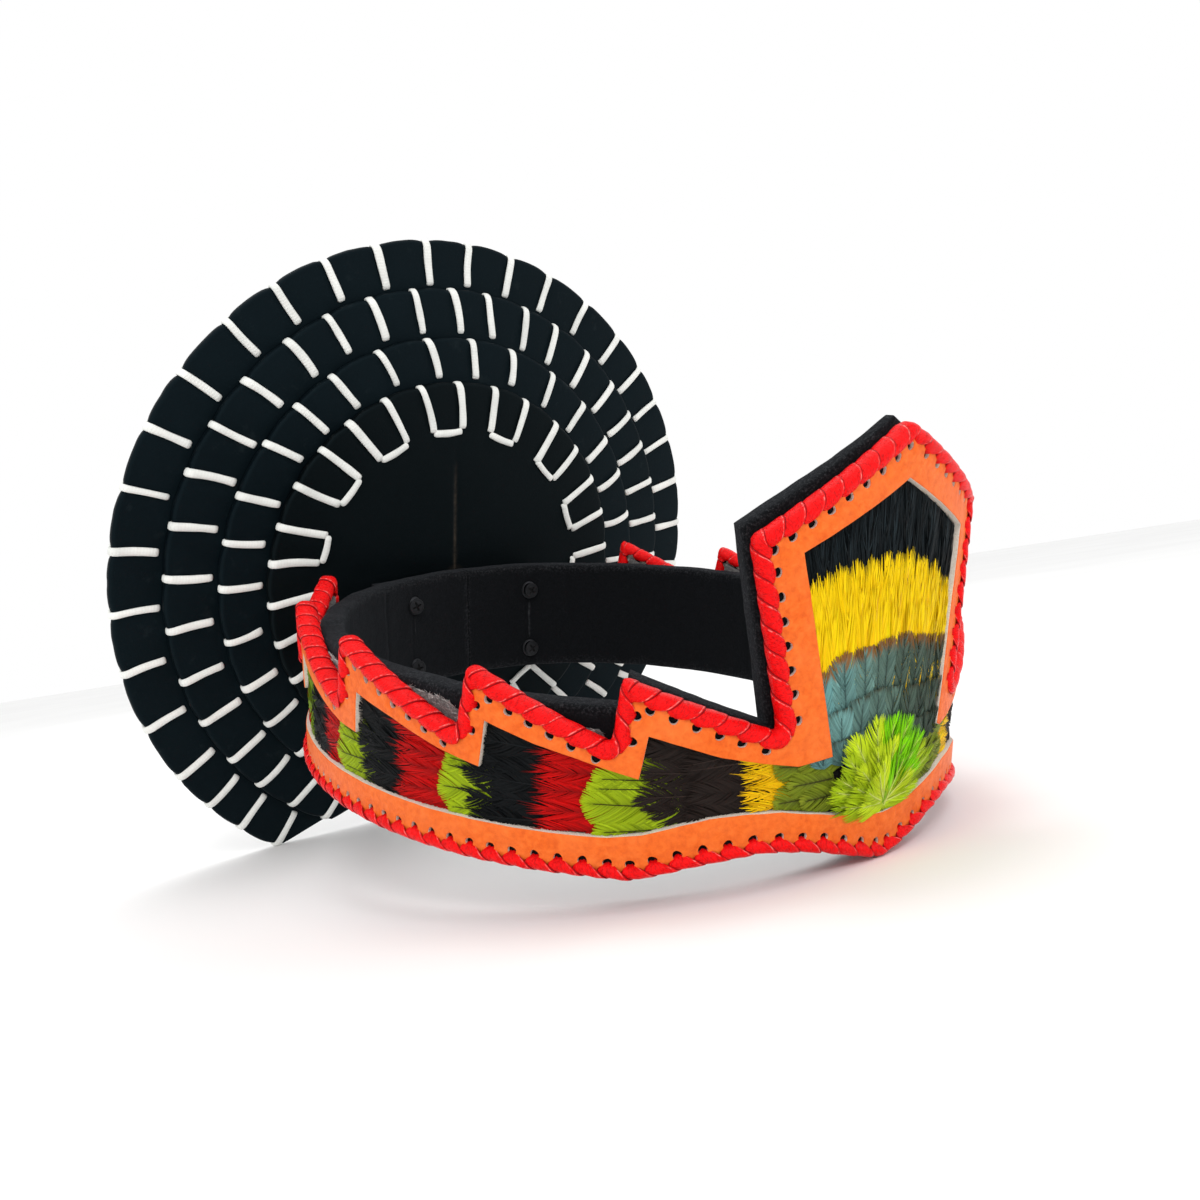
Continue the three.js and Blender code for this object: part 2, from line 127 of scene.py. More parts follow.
# ------------------------------------------------------------------ mesh helpers
def make(name, verts, faces, mats, mat_index=None, attrs=None, smooth=True, sharp=None):
    me = bpy.data.meshes.new(name)
    verts = np.asarray(verts, float)
    me.from_pydata(verts.tolist(), [], faces if isinstance(faces, list) else faces.tolist())
    for m in mats:
        me.materials.append(m)
    if mat_index is not None:
        me.polygons.foreach_set('material_index', np.asarray(mat_index, np.int32))
    me.polygons.foreach_set('use_smooth', np.full(len(me.polygons), smooth))
    for k, v in (attrs or {}).items():
        v = np.asarray(v, float)
        if v.ndim == 1:
            a = me.attributes.new(k, 'FLOAT', 'POINT'); a.data.foreach_set('value', v.astype(np.float32))
        elif v.shape[1] == 4:
            a = me.color_attributes.new(k, 'FLOAT_COLOR', 'POINT'); a.data.foreach_set('color', v.astype(np.float32).ravel())
        else:
            a = me.attributes.new(k, 'FLOAT_VECTOR', 'POINT'); a.data.foreach_set('vector', v.astype(np.float32).ravel())
    me.update()
    if sharp:
        me.set_sharp_from_angle(angle=sharp * D2R)
    o = bpy.data.objects.new(name, me)
    bpy.context.scene.collection.objects.link(o)
    return o


def piece(o, slot, *nodes):
    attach(o, "root")
    if nodes:
        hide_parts(*nodes)
    return o


def resample(path, step, closed=False):
    """keeps the corners, adds points between them"""
    P = np.asarray(path, float); out = []
    n = len(P) if closed else len(P) - 1
    for i in range(n):
        a, b = P[i], P[(i + 1) % len(P)]
        k = max(1, int(math.ceil(np.linalg.norm(b - a) / step)))
        for j in range(k):
            out.append(a + (b - a) * j / k)
    if not closed:
        out.append(P[-1])
    return np.array(out)


def round_corners(poly, r, keep=None):
    """rounds the corners of a closed outline"""
    P = np.asarray(poly, float); out = []
    n = len(P)
    for i in range(n):
        a, p, b = P[i - 1], P[i], P[(i + 1) % n]
        u, v = a - p, b - p; lu, lv = np.linalg.norm(u), np.linalg.norm(v)
        if lu < 1e-6 or lv < 1e-6:
            continue
        u, v = u / lu, v / lv
        ang = math.acos(max(-1, min(1, float(u @ v))))
        rr = r if keep is None else keep(p, r)
        d = min(rr / max(0.05, math.tan(ang / 2)), lu * 0.45, lv * 0.45)
        if ang > 2.9 or d < 0.05:
            out.append(p); continue
        for q in np.linspace(0, 1, 5):
            out.append((1 - q) ** 2 * (p + u * d) + 2 * q * (1 - q) * p + q * q * (p + v * d))
    return np.array(out)


def inward(P):
    """mitred inward normals of a closed counter-clockwise outline"""
    a = P - np.roll(P, 1, 0); b = np.roll(P, -1, 0) - P
    a /= np.maximum(np.linalg.norm(a, axis=1, keepdims=True), 1e-9); b /= np.maximum(np.linalg.norm(b, axis=1, keepdims=True), 1e-9)
    na, nb = np.stack([-a[:, 1], a[:, 0]], 1), np.stack([-b[:, 1], b[:, 0]], 1)
    m = na + nb; k = 1 + (na * nb).sum(1)
    return m / np.maximum(k, 0.45)[:, None]


def area(P):
    return 0.5 * float(np.sum(P[:, 0] * np.roll(P[:, 1], -1) - np.roll(P[:, 0], -1) * P[:, 1]))


def inside(P, poly):
    x, y = P[:, 0], P[:, 1]; c = np.zeros(len(P), bool); n = len(poly)
    for i in range(n):
        x0, y0 = poly[i]; x1, y1 = poly[(i + 1) % n]
        if y0 == y1:
            continue
        hit = ((y0 > y) != (y1 > y)) & (x < (x1 - x0) * (y - y0) / (y1 - y0) + x0)
        c ^= hit
    return c


def dist_poly(P, poly, closed=True):
    d = np.full(len(P), 1e9); n = len(poly) if closed else len(poly) - 1
    for i in range(n):
        a, b = poly[i], poly[(i + 1) % len(poly)]; ab = b - a; L = float(ab @ ab)
        if L < 1e-12:
            continue
        t = np.clip(((P - a) @ ab) / L, 0, 1)
        d = np.minimum(d, np.linalg.norm(P - a - t[:, None] * ab, axis=1))
    return d


def slab(name, outline, profile, mats, step=2.0, grid=3.0, holes=(), wobble=0.0, swell=None, seed=1, face_mats=(0, 1, 0), extra=None, lip=0):
    """A sheet with worked edges. outline: closed (arc, height); profile: rows of (inset, layer) from the
    front face round the edge to the back face. Returns the object."""
    P = resample(outline, step, True)
    if area(P) < 0:
        P = P[::-1].copy()
    keep = np.ones(len(P), bool)
    for i in range(len(P)):
        if np.linalg.norm(P[i] - P[i - 1]) < 0.02:
            keep[i] = False
    P = P[keep]
    N = inward(P)
    if wobble:
        w = wobble * (vnoise(P[:, 0] / 3.1, P[:, 1] / 3.1, seed) + 0.6 * vnoise(P[:, 0] / 9, P[:, 1] / 9, seed + 5))
        P = P + N * w[:, None]
    loops = [(P, N, 1.0)]
    for h in holes:
        h = np.asarray(h, float)
        if area(h) > 0:
            h = h[::-1].copy()
        loops.append((h, inward(h), 0.0 if len(h) < 3 else 0.35))
    fr = [lp[0] + lp[1] * profile[0][0] * lp[2] for lp in loops]
    # interior points
    lo, hi = P.min(0), P.max(0)
    gx, gy = np.meshgrid(np.arange(lo[0] + grid / 2, hi[0], grid), np.arange(lo[1] + grid / 2, hi[1], grid * 0.9), indexing='ij')
    G = np.stack([gx.ravel(), gy.ravel()], 1)
    G = G + grid * 0.18 * np.stack([vnoise(G[:, 0] * 1.7, G[:, 1] * 1.3, seed + 9), vnoise(G[:, 0] * 1.1, G[:, 1] * 1.9, seed + 11)], 1)
    if extra is not None:
        E = np.asarray(extra, float)
        near = np.zeros(len(G), bool)
        for s0 in np.unique(np.round(E[:, 0], 1)):
            near |= np.abs(G[:, 0] - s0) < 0.7
        G = np.concatenate([G[~near], E])
    G = G[inside(G, fr[0])]
    if len(G):
        G = G[dist_poly(G, fr[0]) > grid * 0.45]
    for h in fr[1:]:
        if len(G):
            c = h.mean(0); r = np.linalg.norm(h - c, axis=1).max()
            G = G[np.linalg.norm(G - c, axis=1) > r + grid * 0.3]
    pts, edges = [], []
    for h in fr:
        o = len(pts); pts += [Vector((float(a), float(b))) for a, b in h]
        edges += [(o + i, o + (i + 1) % len(h)) for i in range(len(h))]
    nb = len(pts)
    pts += [Vector((float(a), float(b))) for a, b in G]
    vo, _, fo, ov, _, _ = delaunay_2d_cdt(pts, edges, [], 2, 1e-5)
    where = {}
    for i, lst in enumerate(ov):
        for k in lst:
            where[k] = i
    V2 = np.array([[v.x, v.y] for v in vo]); nv = len(V2)
    F = np.array([list(f) for f in fo if len(f) == 3], int)
    a2 = (V2[F[:, 1], 0] - V2[F[:, 0], 0]) * (V2[F[:, 2], 1] - V2[F[:, 0], 1]) - (V2[F[:, 2], 0] - V2[F[:, 0], 0]) * (V2[F[:, 1], 1] - V2[F[:, 0], 1])
    F[a2 < 0] = F[a2 < 0][:, ::-1]
    F = F[np.abs(a2) > 1e-9]
    for h in fr[1:]:
        C = V2[F].mean(1); c = h.mean(0); rm = np.linalg.norm(h - c, axis=1).max()
        cand = np.flatnonzero(np.linalg.norm(C - c, axis=1) < rm)
        if len(cand):
            F = np.delete(F, cand[inside(C[cand], h)], axis=0)
    bidx = [where[k] for k in range(nb)]
    front = np.column_stack([V2, np.full(nv, profile[0][1])])
    back = np.column_stack([V2, np.full(nv, profile[-1][1])])
    o = 0
    for lp, h in zip(loops, fr):
        nb_ = len(h); q = lp[0] + lp[1] * profile[-1][0] * lp[2]
        for i in range(nb_):
            back[bidx[o + i], :2] = q[i]
        o += nb_
    verts = [front, back]; faces = [F, F[:, ::-1] + nv]; mi = [np.full(len(F), face_mats[0]), np.full(len(F), face_mats[2])]
    base = 2 * nv; quads = []; qm = []
    o = 0
    for lp, h in zip(loops, fr):
        n = len(h); rings = [np.array([bidx[o + i] for i in range(n)])]
        for ins, lay in profile[1:-1]:
            q = lp[0] + lp[1] * ins * lp[2]
            verts.append(np.column_stack([q, np.full(n, lay)]))
            rings.append(base + np.arange(n)); base += n
        rings.append(np.array([bidx[o + i] for i in range(n)]) + nv)
        for row, (a, b) in enumerate(zip(rings[:-1], rings[1:])):
            quads.append(np.stack([a, b, np.roll(b, -1), np.roll(a, -1)], 1)); qm.append(np.full(n, face_mats[0] if row < lip else face_mats[1]))
        o += n
    V = np.concatenate(verts)
    edge = np.zeros(len(V)); edge[2 * nv:] = 1.0
    edge[bidx] = 0.7; edge[np.array(bidx) + nv] = 0.7
    if swell is not None:
        V = swell(V)
    allf = np.concatenate(faces).tolist() + np.concatenate(quads).tolist()
    allm = np.concatenate(mi + qm)
    return make(name, world(bend(V[:, 0], V[:, 1], V[:, 2])), allf, mats, allm, {'band': V / 10.0, 'edge': edge})


# ------------------------------------------------------------------ materials
class Mat:
    def __init__(self, name):
        self.m = bpy.data.materials.new(name); self.m.use_nodes = True
        self.t = self.m.node_tree; self.b = self.t.nodes['Principled BSDF']; self.y = 0

    def n(self, kind, **kw):
        nd = self.t.nodes.new(kind); self.y -= 120; nd.location = (-700, self.y)
        for k, v in kw.items():
            if k.startswith('i_'):
                nd.inputs[int(k[2:])].default_value = v
            else:
                setattr(nd, k, v)
        return nd

    def link(self, a, b):
        self.t.links.new(a, b)

    def noise(self, co, scale, detail=4, rough=0.6, dist=0.0):
        nd = self.n('ShaderNodeTexNoise'); nd.inputs['Scale'].default_value = scale; nd.inputs['Detail'].default_value = detail
        nd.inputs['Roughness'].default_value = rough; nd.inputs['Distortion'].default_value = dist
        self.link(co, nd.inputs['Vector']); return nd.outputs['Fac']

    def voro(self, co, scale, feature='F1'):
        nd = self.n('ShaderNodeTexVoronoi', feature=feature); nd.inputs['Scale'].default_value = scale
        self.link(co, nd.inputs['Vector']); return nd.outputs['Distance']

    def ramp(self, fac, stops):
        nd = self.n('ShaderNodeValToRGB'); e = nd.color_ramp.elements
        while len(e) < len(stops):
            e.new(0.5)
        for el, (p, c) in zip(e, stops):
            el.position = p; el.color = (*c, 1) if len(c) == 3 else c
        self.link(fac, nd.inputs['Fac']); return nd.outputs['Color']

    def mix(self, fac, a, b, mode='MIX'):
        nd = self.n('ShaderNodeMix', data_type='RGBA', blend_type=mode)
        for sock, v in ((nd.inputs[0], fac), (nd.inputs[6], a), (nd.inputs[7], b)):
            if isinstance(v, (int, float)):
                sock.default_value = v
            elif isinstance(v, tuple):
                sock.default_value = (*v, 1)
            else:
                self.link(v, sock)
        return nd.outputs[2]

    def math(self, op, a, b=0.0, clamp=False):
        nd = self.n('ShaderNodeMath', operation=op, use_clamp=clamp)
        for i, v in enumerate((a, b)):
            if isinstance(v, (int, float)):
                nd.inputs[i].default_value = v
            else:
                self.link(v, nd.inputs[i])
        return nd.outputs[0]

    def map(self, v, a, b, c, d):
        nd = self.n('ShaderNodeMapRange'); self.link(v, nd.inputs[0])
        for i, x in enumerate((a, b, c, d)):
            nd.inputs[i + 1].default_value = x
        return nd.outputs[0]

    def bump(self, height, strength=0.3, dist=0.0005, prev=None):
        nd = self.n('ShaderNodeBump'); nd.inputs['Strength'].default_value = strength; nd.inputs['Distance'].default_value = dist
        self.link(height, nd.inputs['Height'])
        if prev is not None:
            self.link(prev, nd.inputs['Normal'])
        return nd.outputs[0]

    def attr(self, name, out='Vector'):
        nd = self.n('ShaderNodeAttribute', attribute_name=name); return nd.outputs[out]

    def obj(self):
        return self.n('ShaderNodeTexCoord').outputs['Object']

    def set(self, **kw):
        names = dict(color='Base Color', rough='Roughness', metal='Metallic', spec='Specular IOR Level', sheen='Sheen Weight', sheen_rough='Sheen Roughness',
                     sheen_tint='Sheen Tint', coat='Coat Weight', coat_rough='Coat Roughness', normal='Normal', sub='Subsurface Weight', aniso='Anisotropic')
        for k, v in kw.items():
            s = self.b.inputs[names[k]]
            if isinstance(v, (int, float)):
                s.default_value = v
            elif isinstance(v, tuple):
                s.default_value = (*v, 1) if len(v) == 3 else v
            else:
                self.link(v, s)
        return self.m


def m_leatherette():
    M = Mat('leatherette'); co = M.obj()
    grain = M.voro(co, 1150); fine = M.noise(co, 2300, 3, 0.7); big = M.noise(co, 26, 5, 0.6); wear = M.noise(co, 120, 4, 0.65)
    col = M.ramp(big, [(0.3, (0.0008, 0.0024, 0.0036)), (0.7, (0.0022, 0.0052, 0.0072))])
    col = M.mix(M.map(wear, 0.62, 0.8, 0.0, 0.35), col, (0.022, 0.03, 0.032))
    r = M.map(big, 0.3, 0.7, 0.5, 0.66)
    h = M.math('ADD', M.math('MULTIPLY', grain, 0.6), M.math('MULTIPLY', fine, 0.4))
    n1 = M.bump(h, 0.55, 0.00012); n2 = M.bump(wear, 0.25, 0.0006, n1)
    M.b.inputs['Specular Tint'].default_value = (0.55, 0.85, 1.0, 1)
    return M.set(color=col, rough=r, normal=n2, spec=0.11)


def m_leatherette_front():
    """the small front board, with the faint brown fold down its middle"""
    M = Mat('leatherette_fold'); co = M.obj()
    grain = M.voro(co, 1150); fine = M.noise(co, 2300, 3, 0.7); big = M.noise(co, 26, 5, 0.6); wear = M.noise(co, 120, 4, 0.65)
    col = M.ramp(big, [(0.3, (0.0006, 0.0012, 0.0014)), (0.7, (0.0016, 0.0026, 0.0030))])
    crease = M.attr('crease', 'Fac')
    br = M.noise(co, 300, 4, 0.7)
    col = M.mix(M.math('MULTIPLY', crease, M.map(br, 0.35, 0.65, 0.15, 0.75)), col, (0.06, 0.045, 0.032))
    r = M.map(big, 0.3, 0.7, 0.5, 0.66)
    h = M.math('ADD', M.math('MULTIPLY', grain, 0.6), M.math('MULTIPLY', fine, 0.4))
    n1 = M.bump(h, 0.55, 0.00012); n2 = M.bump(M.math('MULTIPLY', crease, -1.0), 0.5, 0.0006, n1)
    M.b.inputs['Specular Tint'].default_value = (0.55, 0.85, 1.0, 1)
    return M.set(color=col, rough=r, normal=n2, spec=0.11)


def m_felt(name='black_felt', dark=(0.0016, 0.0019, 0.0024), light=(0.0062, 0.0068, 0.0080)):
    M = Mat(name); co = M.obj()
    a = M.noise(co, 1500, 5, 0.75, 0.4); b = M.noise(co, 320, 5, 0.7, 0.8); c = M.noise(co, 40, 4, 0.6)
    col = M.mix(M.map(a, 0.35, 0.75, 0, 1), dark, light)
    col = M.mix(M.map(b, 0.6, 0.78, 0.0, 0.5), col, tuple(x * 1.7 for x in light))
    worn = M.math('MULTIPLY', M.attr('edge', 'Fac'), M.map(a, 0.5, 0.72, 0.0, 0.8), clamp=True)
    col = M.mix(worn, col, (0.055, 0.056, 0.06))
    n = M.bump(a, 0.7, 0.00035); n = M.bump(b, 0.5, 0.0006, n); n = M.bump(c, 0.4, 0.0015, n)
    return M.set(color=col, rough=0.96, sheen=0.07, sheen_rough=0.6, sheen_tint=(0.5, 0.55, 0.62), normal=n, spec=0.06)


def m_rawfelt():
    M = Mat('raw_felt'); co = M.obj()
    a = M.noise(co, 1300, 6, 0.8, 1.2); b = M.noise(co, 260, 5, 0.7, 0.8)
    col = M.ramp(a, [(0.3, (0.035, 0.033, 0.032)), (0.55, (0.16, 0.15, 0.145)), (0.75, (0.42, 0.4, 0.385))])
    col = M.mix(M.map(b, 0.55, 0.7, 0, 0.7), col, (0.02, 0.02, 0.021))
    n = M.bump(a, 1.0, 0.0009); n = M.bump(b, 0.8, 0.0012, n)
    return M.set(color=col, rough=1.0, sheen=0.3, normal=n, spec=0.1)


def m_orange():
    M = Mat('orange_leather'); co = M.attr('band')
    a = M.noise(co, 5.5, 6, 0.62, 0.3); b = M.noise(co, 0.9, 4, 0.6); pores = M.voro(co, 22); c = M.noise(co, 38, 4, 0.7)
    col = M.ramp(a, [(0.3, (0.72, 0.100, 0.008)), (0.5, (0.84, 0.138, 0.012)), (0.72, (0.92, 0.185, 0.024))])
    col = M.mix(M.map(b, 0.4, 0.75, 0, 0.45), col, (0.92, 0.215, 0.045))
    col = M.mix(M.map(c, 0.62, 0.8, 0, 0.28), col, (0.62, 0.10, 0.02))
    n = M.bump(pores, 0.3, 0.00018); n = M.bump(c, 0.3, 0.0002, n); n = M.bump(a, 0.25, 0.0007, n)
    return M.set(color=col, rough=M.map(a, 0.3, 0.7, 0.52, 0.40), normal=n, spec=0.16)


def m_cut():
    M = Mat('cut_edge'); co = M.attr('band')
    a = M.noise(co, 26, 5, 0.7, 0.6); b = M.noise(co, 4, 4, 0.6)
    col = M.ramp(a, [(0.3, (0.62, 0.50, 0.40)), (0.6, (0.86, 0.79, 0.70)), (0.8, (0.95, 0.92, 0.87))])
    col = M.mix(M.map(b, 0.55, 0.75, 0, 0.35), col, (0.86, 0.45, 0.26))
    n = M.bump(a, 0.7, 0.0004)
    return M.set(color=col, rough=0.9, normal=n, spec=0.2)


def m_lace():
    M = Mat('red_lace'); co = M.attr('uvk'); sep = M.n('ShaderNodeSeparateXYZ'); M.link(co, sep.inputs[0])
    u, v, k = sep.outputs[0], sep.outputs[1], sep.outputs[2]
    comb = M.n('ShaderNodeCombineXYZ'); M.link(M.math('MULTIPLY', u, 0.9), comb.inputs[0]); M.link(M.math('MULTIPLY', v, 2.6), comb.inputs[1]); M.link(k, comb.inputs[2])
    fib = M.noise(comb.outputs[0], 4.0, 5, 0.65, 0.5); fine = M.noise(M.obj(), 1400, 4, 0.7); blot = M.noise(comb.outputs[0], 1.1, 3, 0.5)
    col = M.ramp(fib, [(0.28, (0.62, 0.002, 0.003)), (0.5, (0.90, 0.003, 0.004)), (0.74, (0.98, 0.006, 0.008))])
    col = M.mix(M.map(blot, 0.35, 0.7, 0, 0.5), col, (0.95, 0.003, 0.005))
    # painted shade: dark bands along both side edges of each wrap, where the wraps overlap one another
    edge = M.map(M.math('ABSOLUTE', v), 0.83, 0.95, 0.0, 0.86)
    col = M.mix(edge, col, (0.22, 0.004, 0.008))
    # a pale pinkish streak just inside the raised edge of each wrap, broken up by noise
    wav = M.noise(comb.outputs[0], 3.0, 4, 0.6)
    raw = M.math('MULTIPLY', M.map(v, 0.70, 0.78, 0.0, 1.0), M.map(wav, 0.48, 0.60, 0.0, 0.62), clamp=True)
    col = M.mix(M.math('MULTIPLY', raw, M.map(v, 0.81, 0.86, 1.0, 0.0), clamp=True), col, (0.95, 0.46, 0.42))
    # painted shade: dark lines along the lace's creases, in the same places as the bump's grooves
    cr = M.n('ShaderNodeCombineXYZ'); M.link(M.math('ADD', M.math('MULTIPLY', u, 0.8), M.math('MULTIPLY', v, 1.7)), cr.inputs[0]); M.link(M.math('MULTIPLY', v, 0.6), cr.inputs[1]); M.link(k, cr.inputs[2])
    crease = M.noise(cr.outputs[0], 3.6, 3, 0.5, 0.3)
    line = M.map(M.math('ABSOLUTE', M.math('SUBTRACT', crease, 0.5)), 0.0, 0.030, 1.0, 0.0)
    col = M.mix(M.math('MULTIPLY', line, 0.5), col, (0.30, 0.006, 0.010))
    n = M.bump(fib, 0.35, 0.0006); n = M.bump(fine, 0.3, 0.00012, n); n = M.bump(M.math('MULTIPLY', line, -1.0), 0.5, 0.0004, n)
    return M.set(color=col, rough=M.map(fib, 0.3, 0.7, 0.22, 0.36), normal=n, spec=0.11)


def m_thread():
    M = Mat('waxed_thread'); co = M.attr('uvk'); sep = M.n('ShaderNodeSeparateXYZ'); M.link(co, sep.inputs[0])
    tw = M.math('ADD', M.math('MULTIPLY', sep.outputs[0], 12.0), M.math('MULTIPLY', sep.outputs[1], 3.2))
    w = M.math('SINE', tw); fuzz = M.noise(M.obj(), 1700, 4, 0.7); soil = M.noise(M.obj(), 70, 4, 0.6)
    col = M.ramp(soil, [(0.3, (0.74, 0.755, 0.72)), (0.6, (0.90, 0.91, 0.87))])
    # painted shade: the grooves of the twist, where the sine is lowest, are greyed a little
    col = M.mix(M.map(w, -1, -0.35, 0.10, 0.0), col, (0.50, 0.50, 0.46))
    n = M.bump(w, 0.16, 0.0002); n = M.bump(fuzz, 0.3, 0.0002, n)
    return M.set(color=col, rough=0.5, normal=n, spec=0.4)


def m_feather(name, rough=0.5, sheen=0.0, spec=0.08):
    M = Mat(name); colr = M.attr('col', 'Color'); co = M.attr('fuv')
    sep = M.n('ShaderNodeSeparateXYZ'); M.link(co, sep.inputs[0])
    comb = M.n('ShaderNodeCombineXYZ'); M.link(M.math('MULTIPLY', sep.outputs[0], 1.2), comb.inputs[0]); M.link(M.math('MULTIPLY', sep.outputs[1], 22.0), comb.inputs[1]); M.link(sep.outputs[2], comb.inputs[2])
    fib = M.noise(comb.outputs[0], 2.2, 4, 0.6); big = M.noise(M.obj(), 160, 4, 0.6)
    col = M.mix(M.map(fib, 0.3, 0.62, 0.22, 0.0), colr, M.mix(0.62, colr, (0.0, 0.0, 0.0)))
    # painted sheen: pale patches where the large noise is high, blending a touch of white into the feather colour
    col = M.mix(M.map(big, 0.55, 0.8, 0.0, 0.25), col, M.mix(0.02, colr, (1.0, 1.0, 0.9)))
    n = M.bump(fib, 0.45, 0.00022)
    return M.set(color=col, rough=rough, sheen=sheen, sheen_rough=0.4, normal=n, spec=spec)


def m_steel(name, base, rough):
    M = Mat(name); co = M.obj(); a = M.noise(co, 900, 4, 0.7); b = M.noise(co, 160, 4, 0.6)
    col = M.mix(M.map(b, 0.4, 0.7, 0, 0.6), base, tuple(x * 0.45 for x in base))
    return M.set(color=col, metal=0.9, rough=M.map(a, 0.3, 0.7, rough, rough + 0.2), normal=M.bump(a, 0.25, 0.00015))


LEATHERETTE, FOLD, FELT, RAW = m_leatherette(), m_leatherette_front(), m_felt(), m_rawfelt()
ORANGE, CUT, LACE, THREAD = m_orange(), m_cut(), m_lace(), m_thread()
FEATHER, DOWN = m_feather('feather_vanes'), m_feather('feather_down', 0.55, 0.0, 0.08)
STEEL, WASHER = m_steel('screw_steel', (0.030, 0.031, 0.034), 0.5), m_steel('washer_steel', (0.060, 0.062, 0.068), 0.5)

# ------------------------------------------------------------------ fan boards
# stitch angles, degrees from the wearer's left: (at the rim, at the inner end)
FAN_STITCH = [
    [(a, a - 0.4) for a in (235.0, 227.0, 219.5, 211.8, 201.4, 191.1, 181.2, 171.1, 161.1, 151.2, 141.5, 130.9, 121.4, 112.0, 102.6, 93.3, 85.0, 76.2, 67.4, 57.7,
                            47.8, 39.4, 31.5, 23.1, 13.7, 4.4, -4.8, -14.1, -23.0, -32.2, -41.5, -50.6)],
    [(7.5, 7.2), (16.5, 16.1), (25.9, 24.8), (34.0, 33.4), (42.6, 41.7), (52.5, 51.1), (62.7, 60.8), (71.1, 68.9), (80.8, 77.7), (88.9, 86.5), (97.4, 96.4), (106.8, 105.8),
     (116.1, 115.1), (125.1, 124.4), (135.9, 134.4), (145.8, 144.7), (155.4, 153.8), (165.5, 164.5), (175.2, 175.0), (185.2, 184.8), (195.6, 195.2), (204.9, 204.6),
     (215.0, 214.8), (223.3, 223.7), (232.2, 234.0), (-2.0, -2.3), (-11.4, -11.8), (-20.8, -21.2), (-30.2, -30.6), (-38.9, -39.3), (-48.2, -48.8), (240.6, 241.5)],
    [(11.2, 10.2), (23.7, 22.0), (34, 32.5), (46.2, 45.1), (59.0, 57.1), (72.7, 70.2), (84.4, 82.2), (96.3, 94.0), (109.3, 107.2), (121.9, 120.1), (132.4, 131.2), (143.2, 141.3),
     (156.1, 154.6), (166.9, 165.7), (177.4, 176.8), (190.0, 189.1), (202.2, 201.6), (213.0, 212.6), (224.8, 224.4), (237.0, 237.4), (-1.4, -2.0), (-13.0, -13.4), (-24.1, -24.6),
     (-35.2, -35.8), (-47.3, -47.9), (-58.6, -59.0)],
    [(a, a - 1.8) for a in (4.0, 16.0, 28.0, 40.0, 51.3, 64.8, 76.6, 89.1, 101.4, 113.0, 125.4, 136.1, 148.1, 160.2, 170.7, 182.5, 194.1, 206.0, 217.3, 229.2, 241.0, 253.2,
                            265.0, 277.0, 288.8, 300.6, 312.4, 324.2, 336.0, 348.0)],
]
FAN_INNER = [110.6, 93.2, 77.0, 57.2]
FAN_BACK = 112.5                    # inner end of the stitches on the rearmost board's back
rng = np.random.default_rng(7)


def near_stitch(theta, k, r):
    """distance in mm to the nearest stitch of that board, theta in radians"""
    d = np.full(np.shape(theta), 1e9)
    for a, b in FAN_STITCH[k]:
        q = np.abs((theta - a * D2R + math.pi) % (2 * math.pi) - math.pi)
        d = np.minimum(d, q * r)
    return d


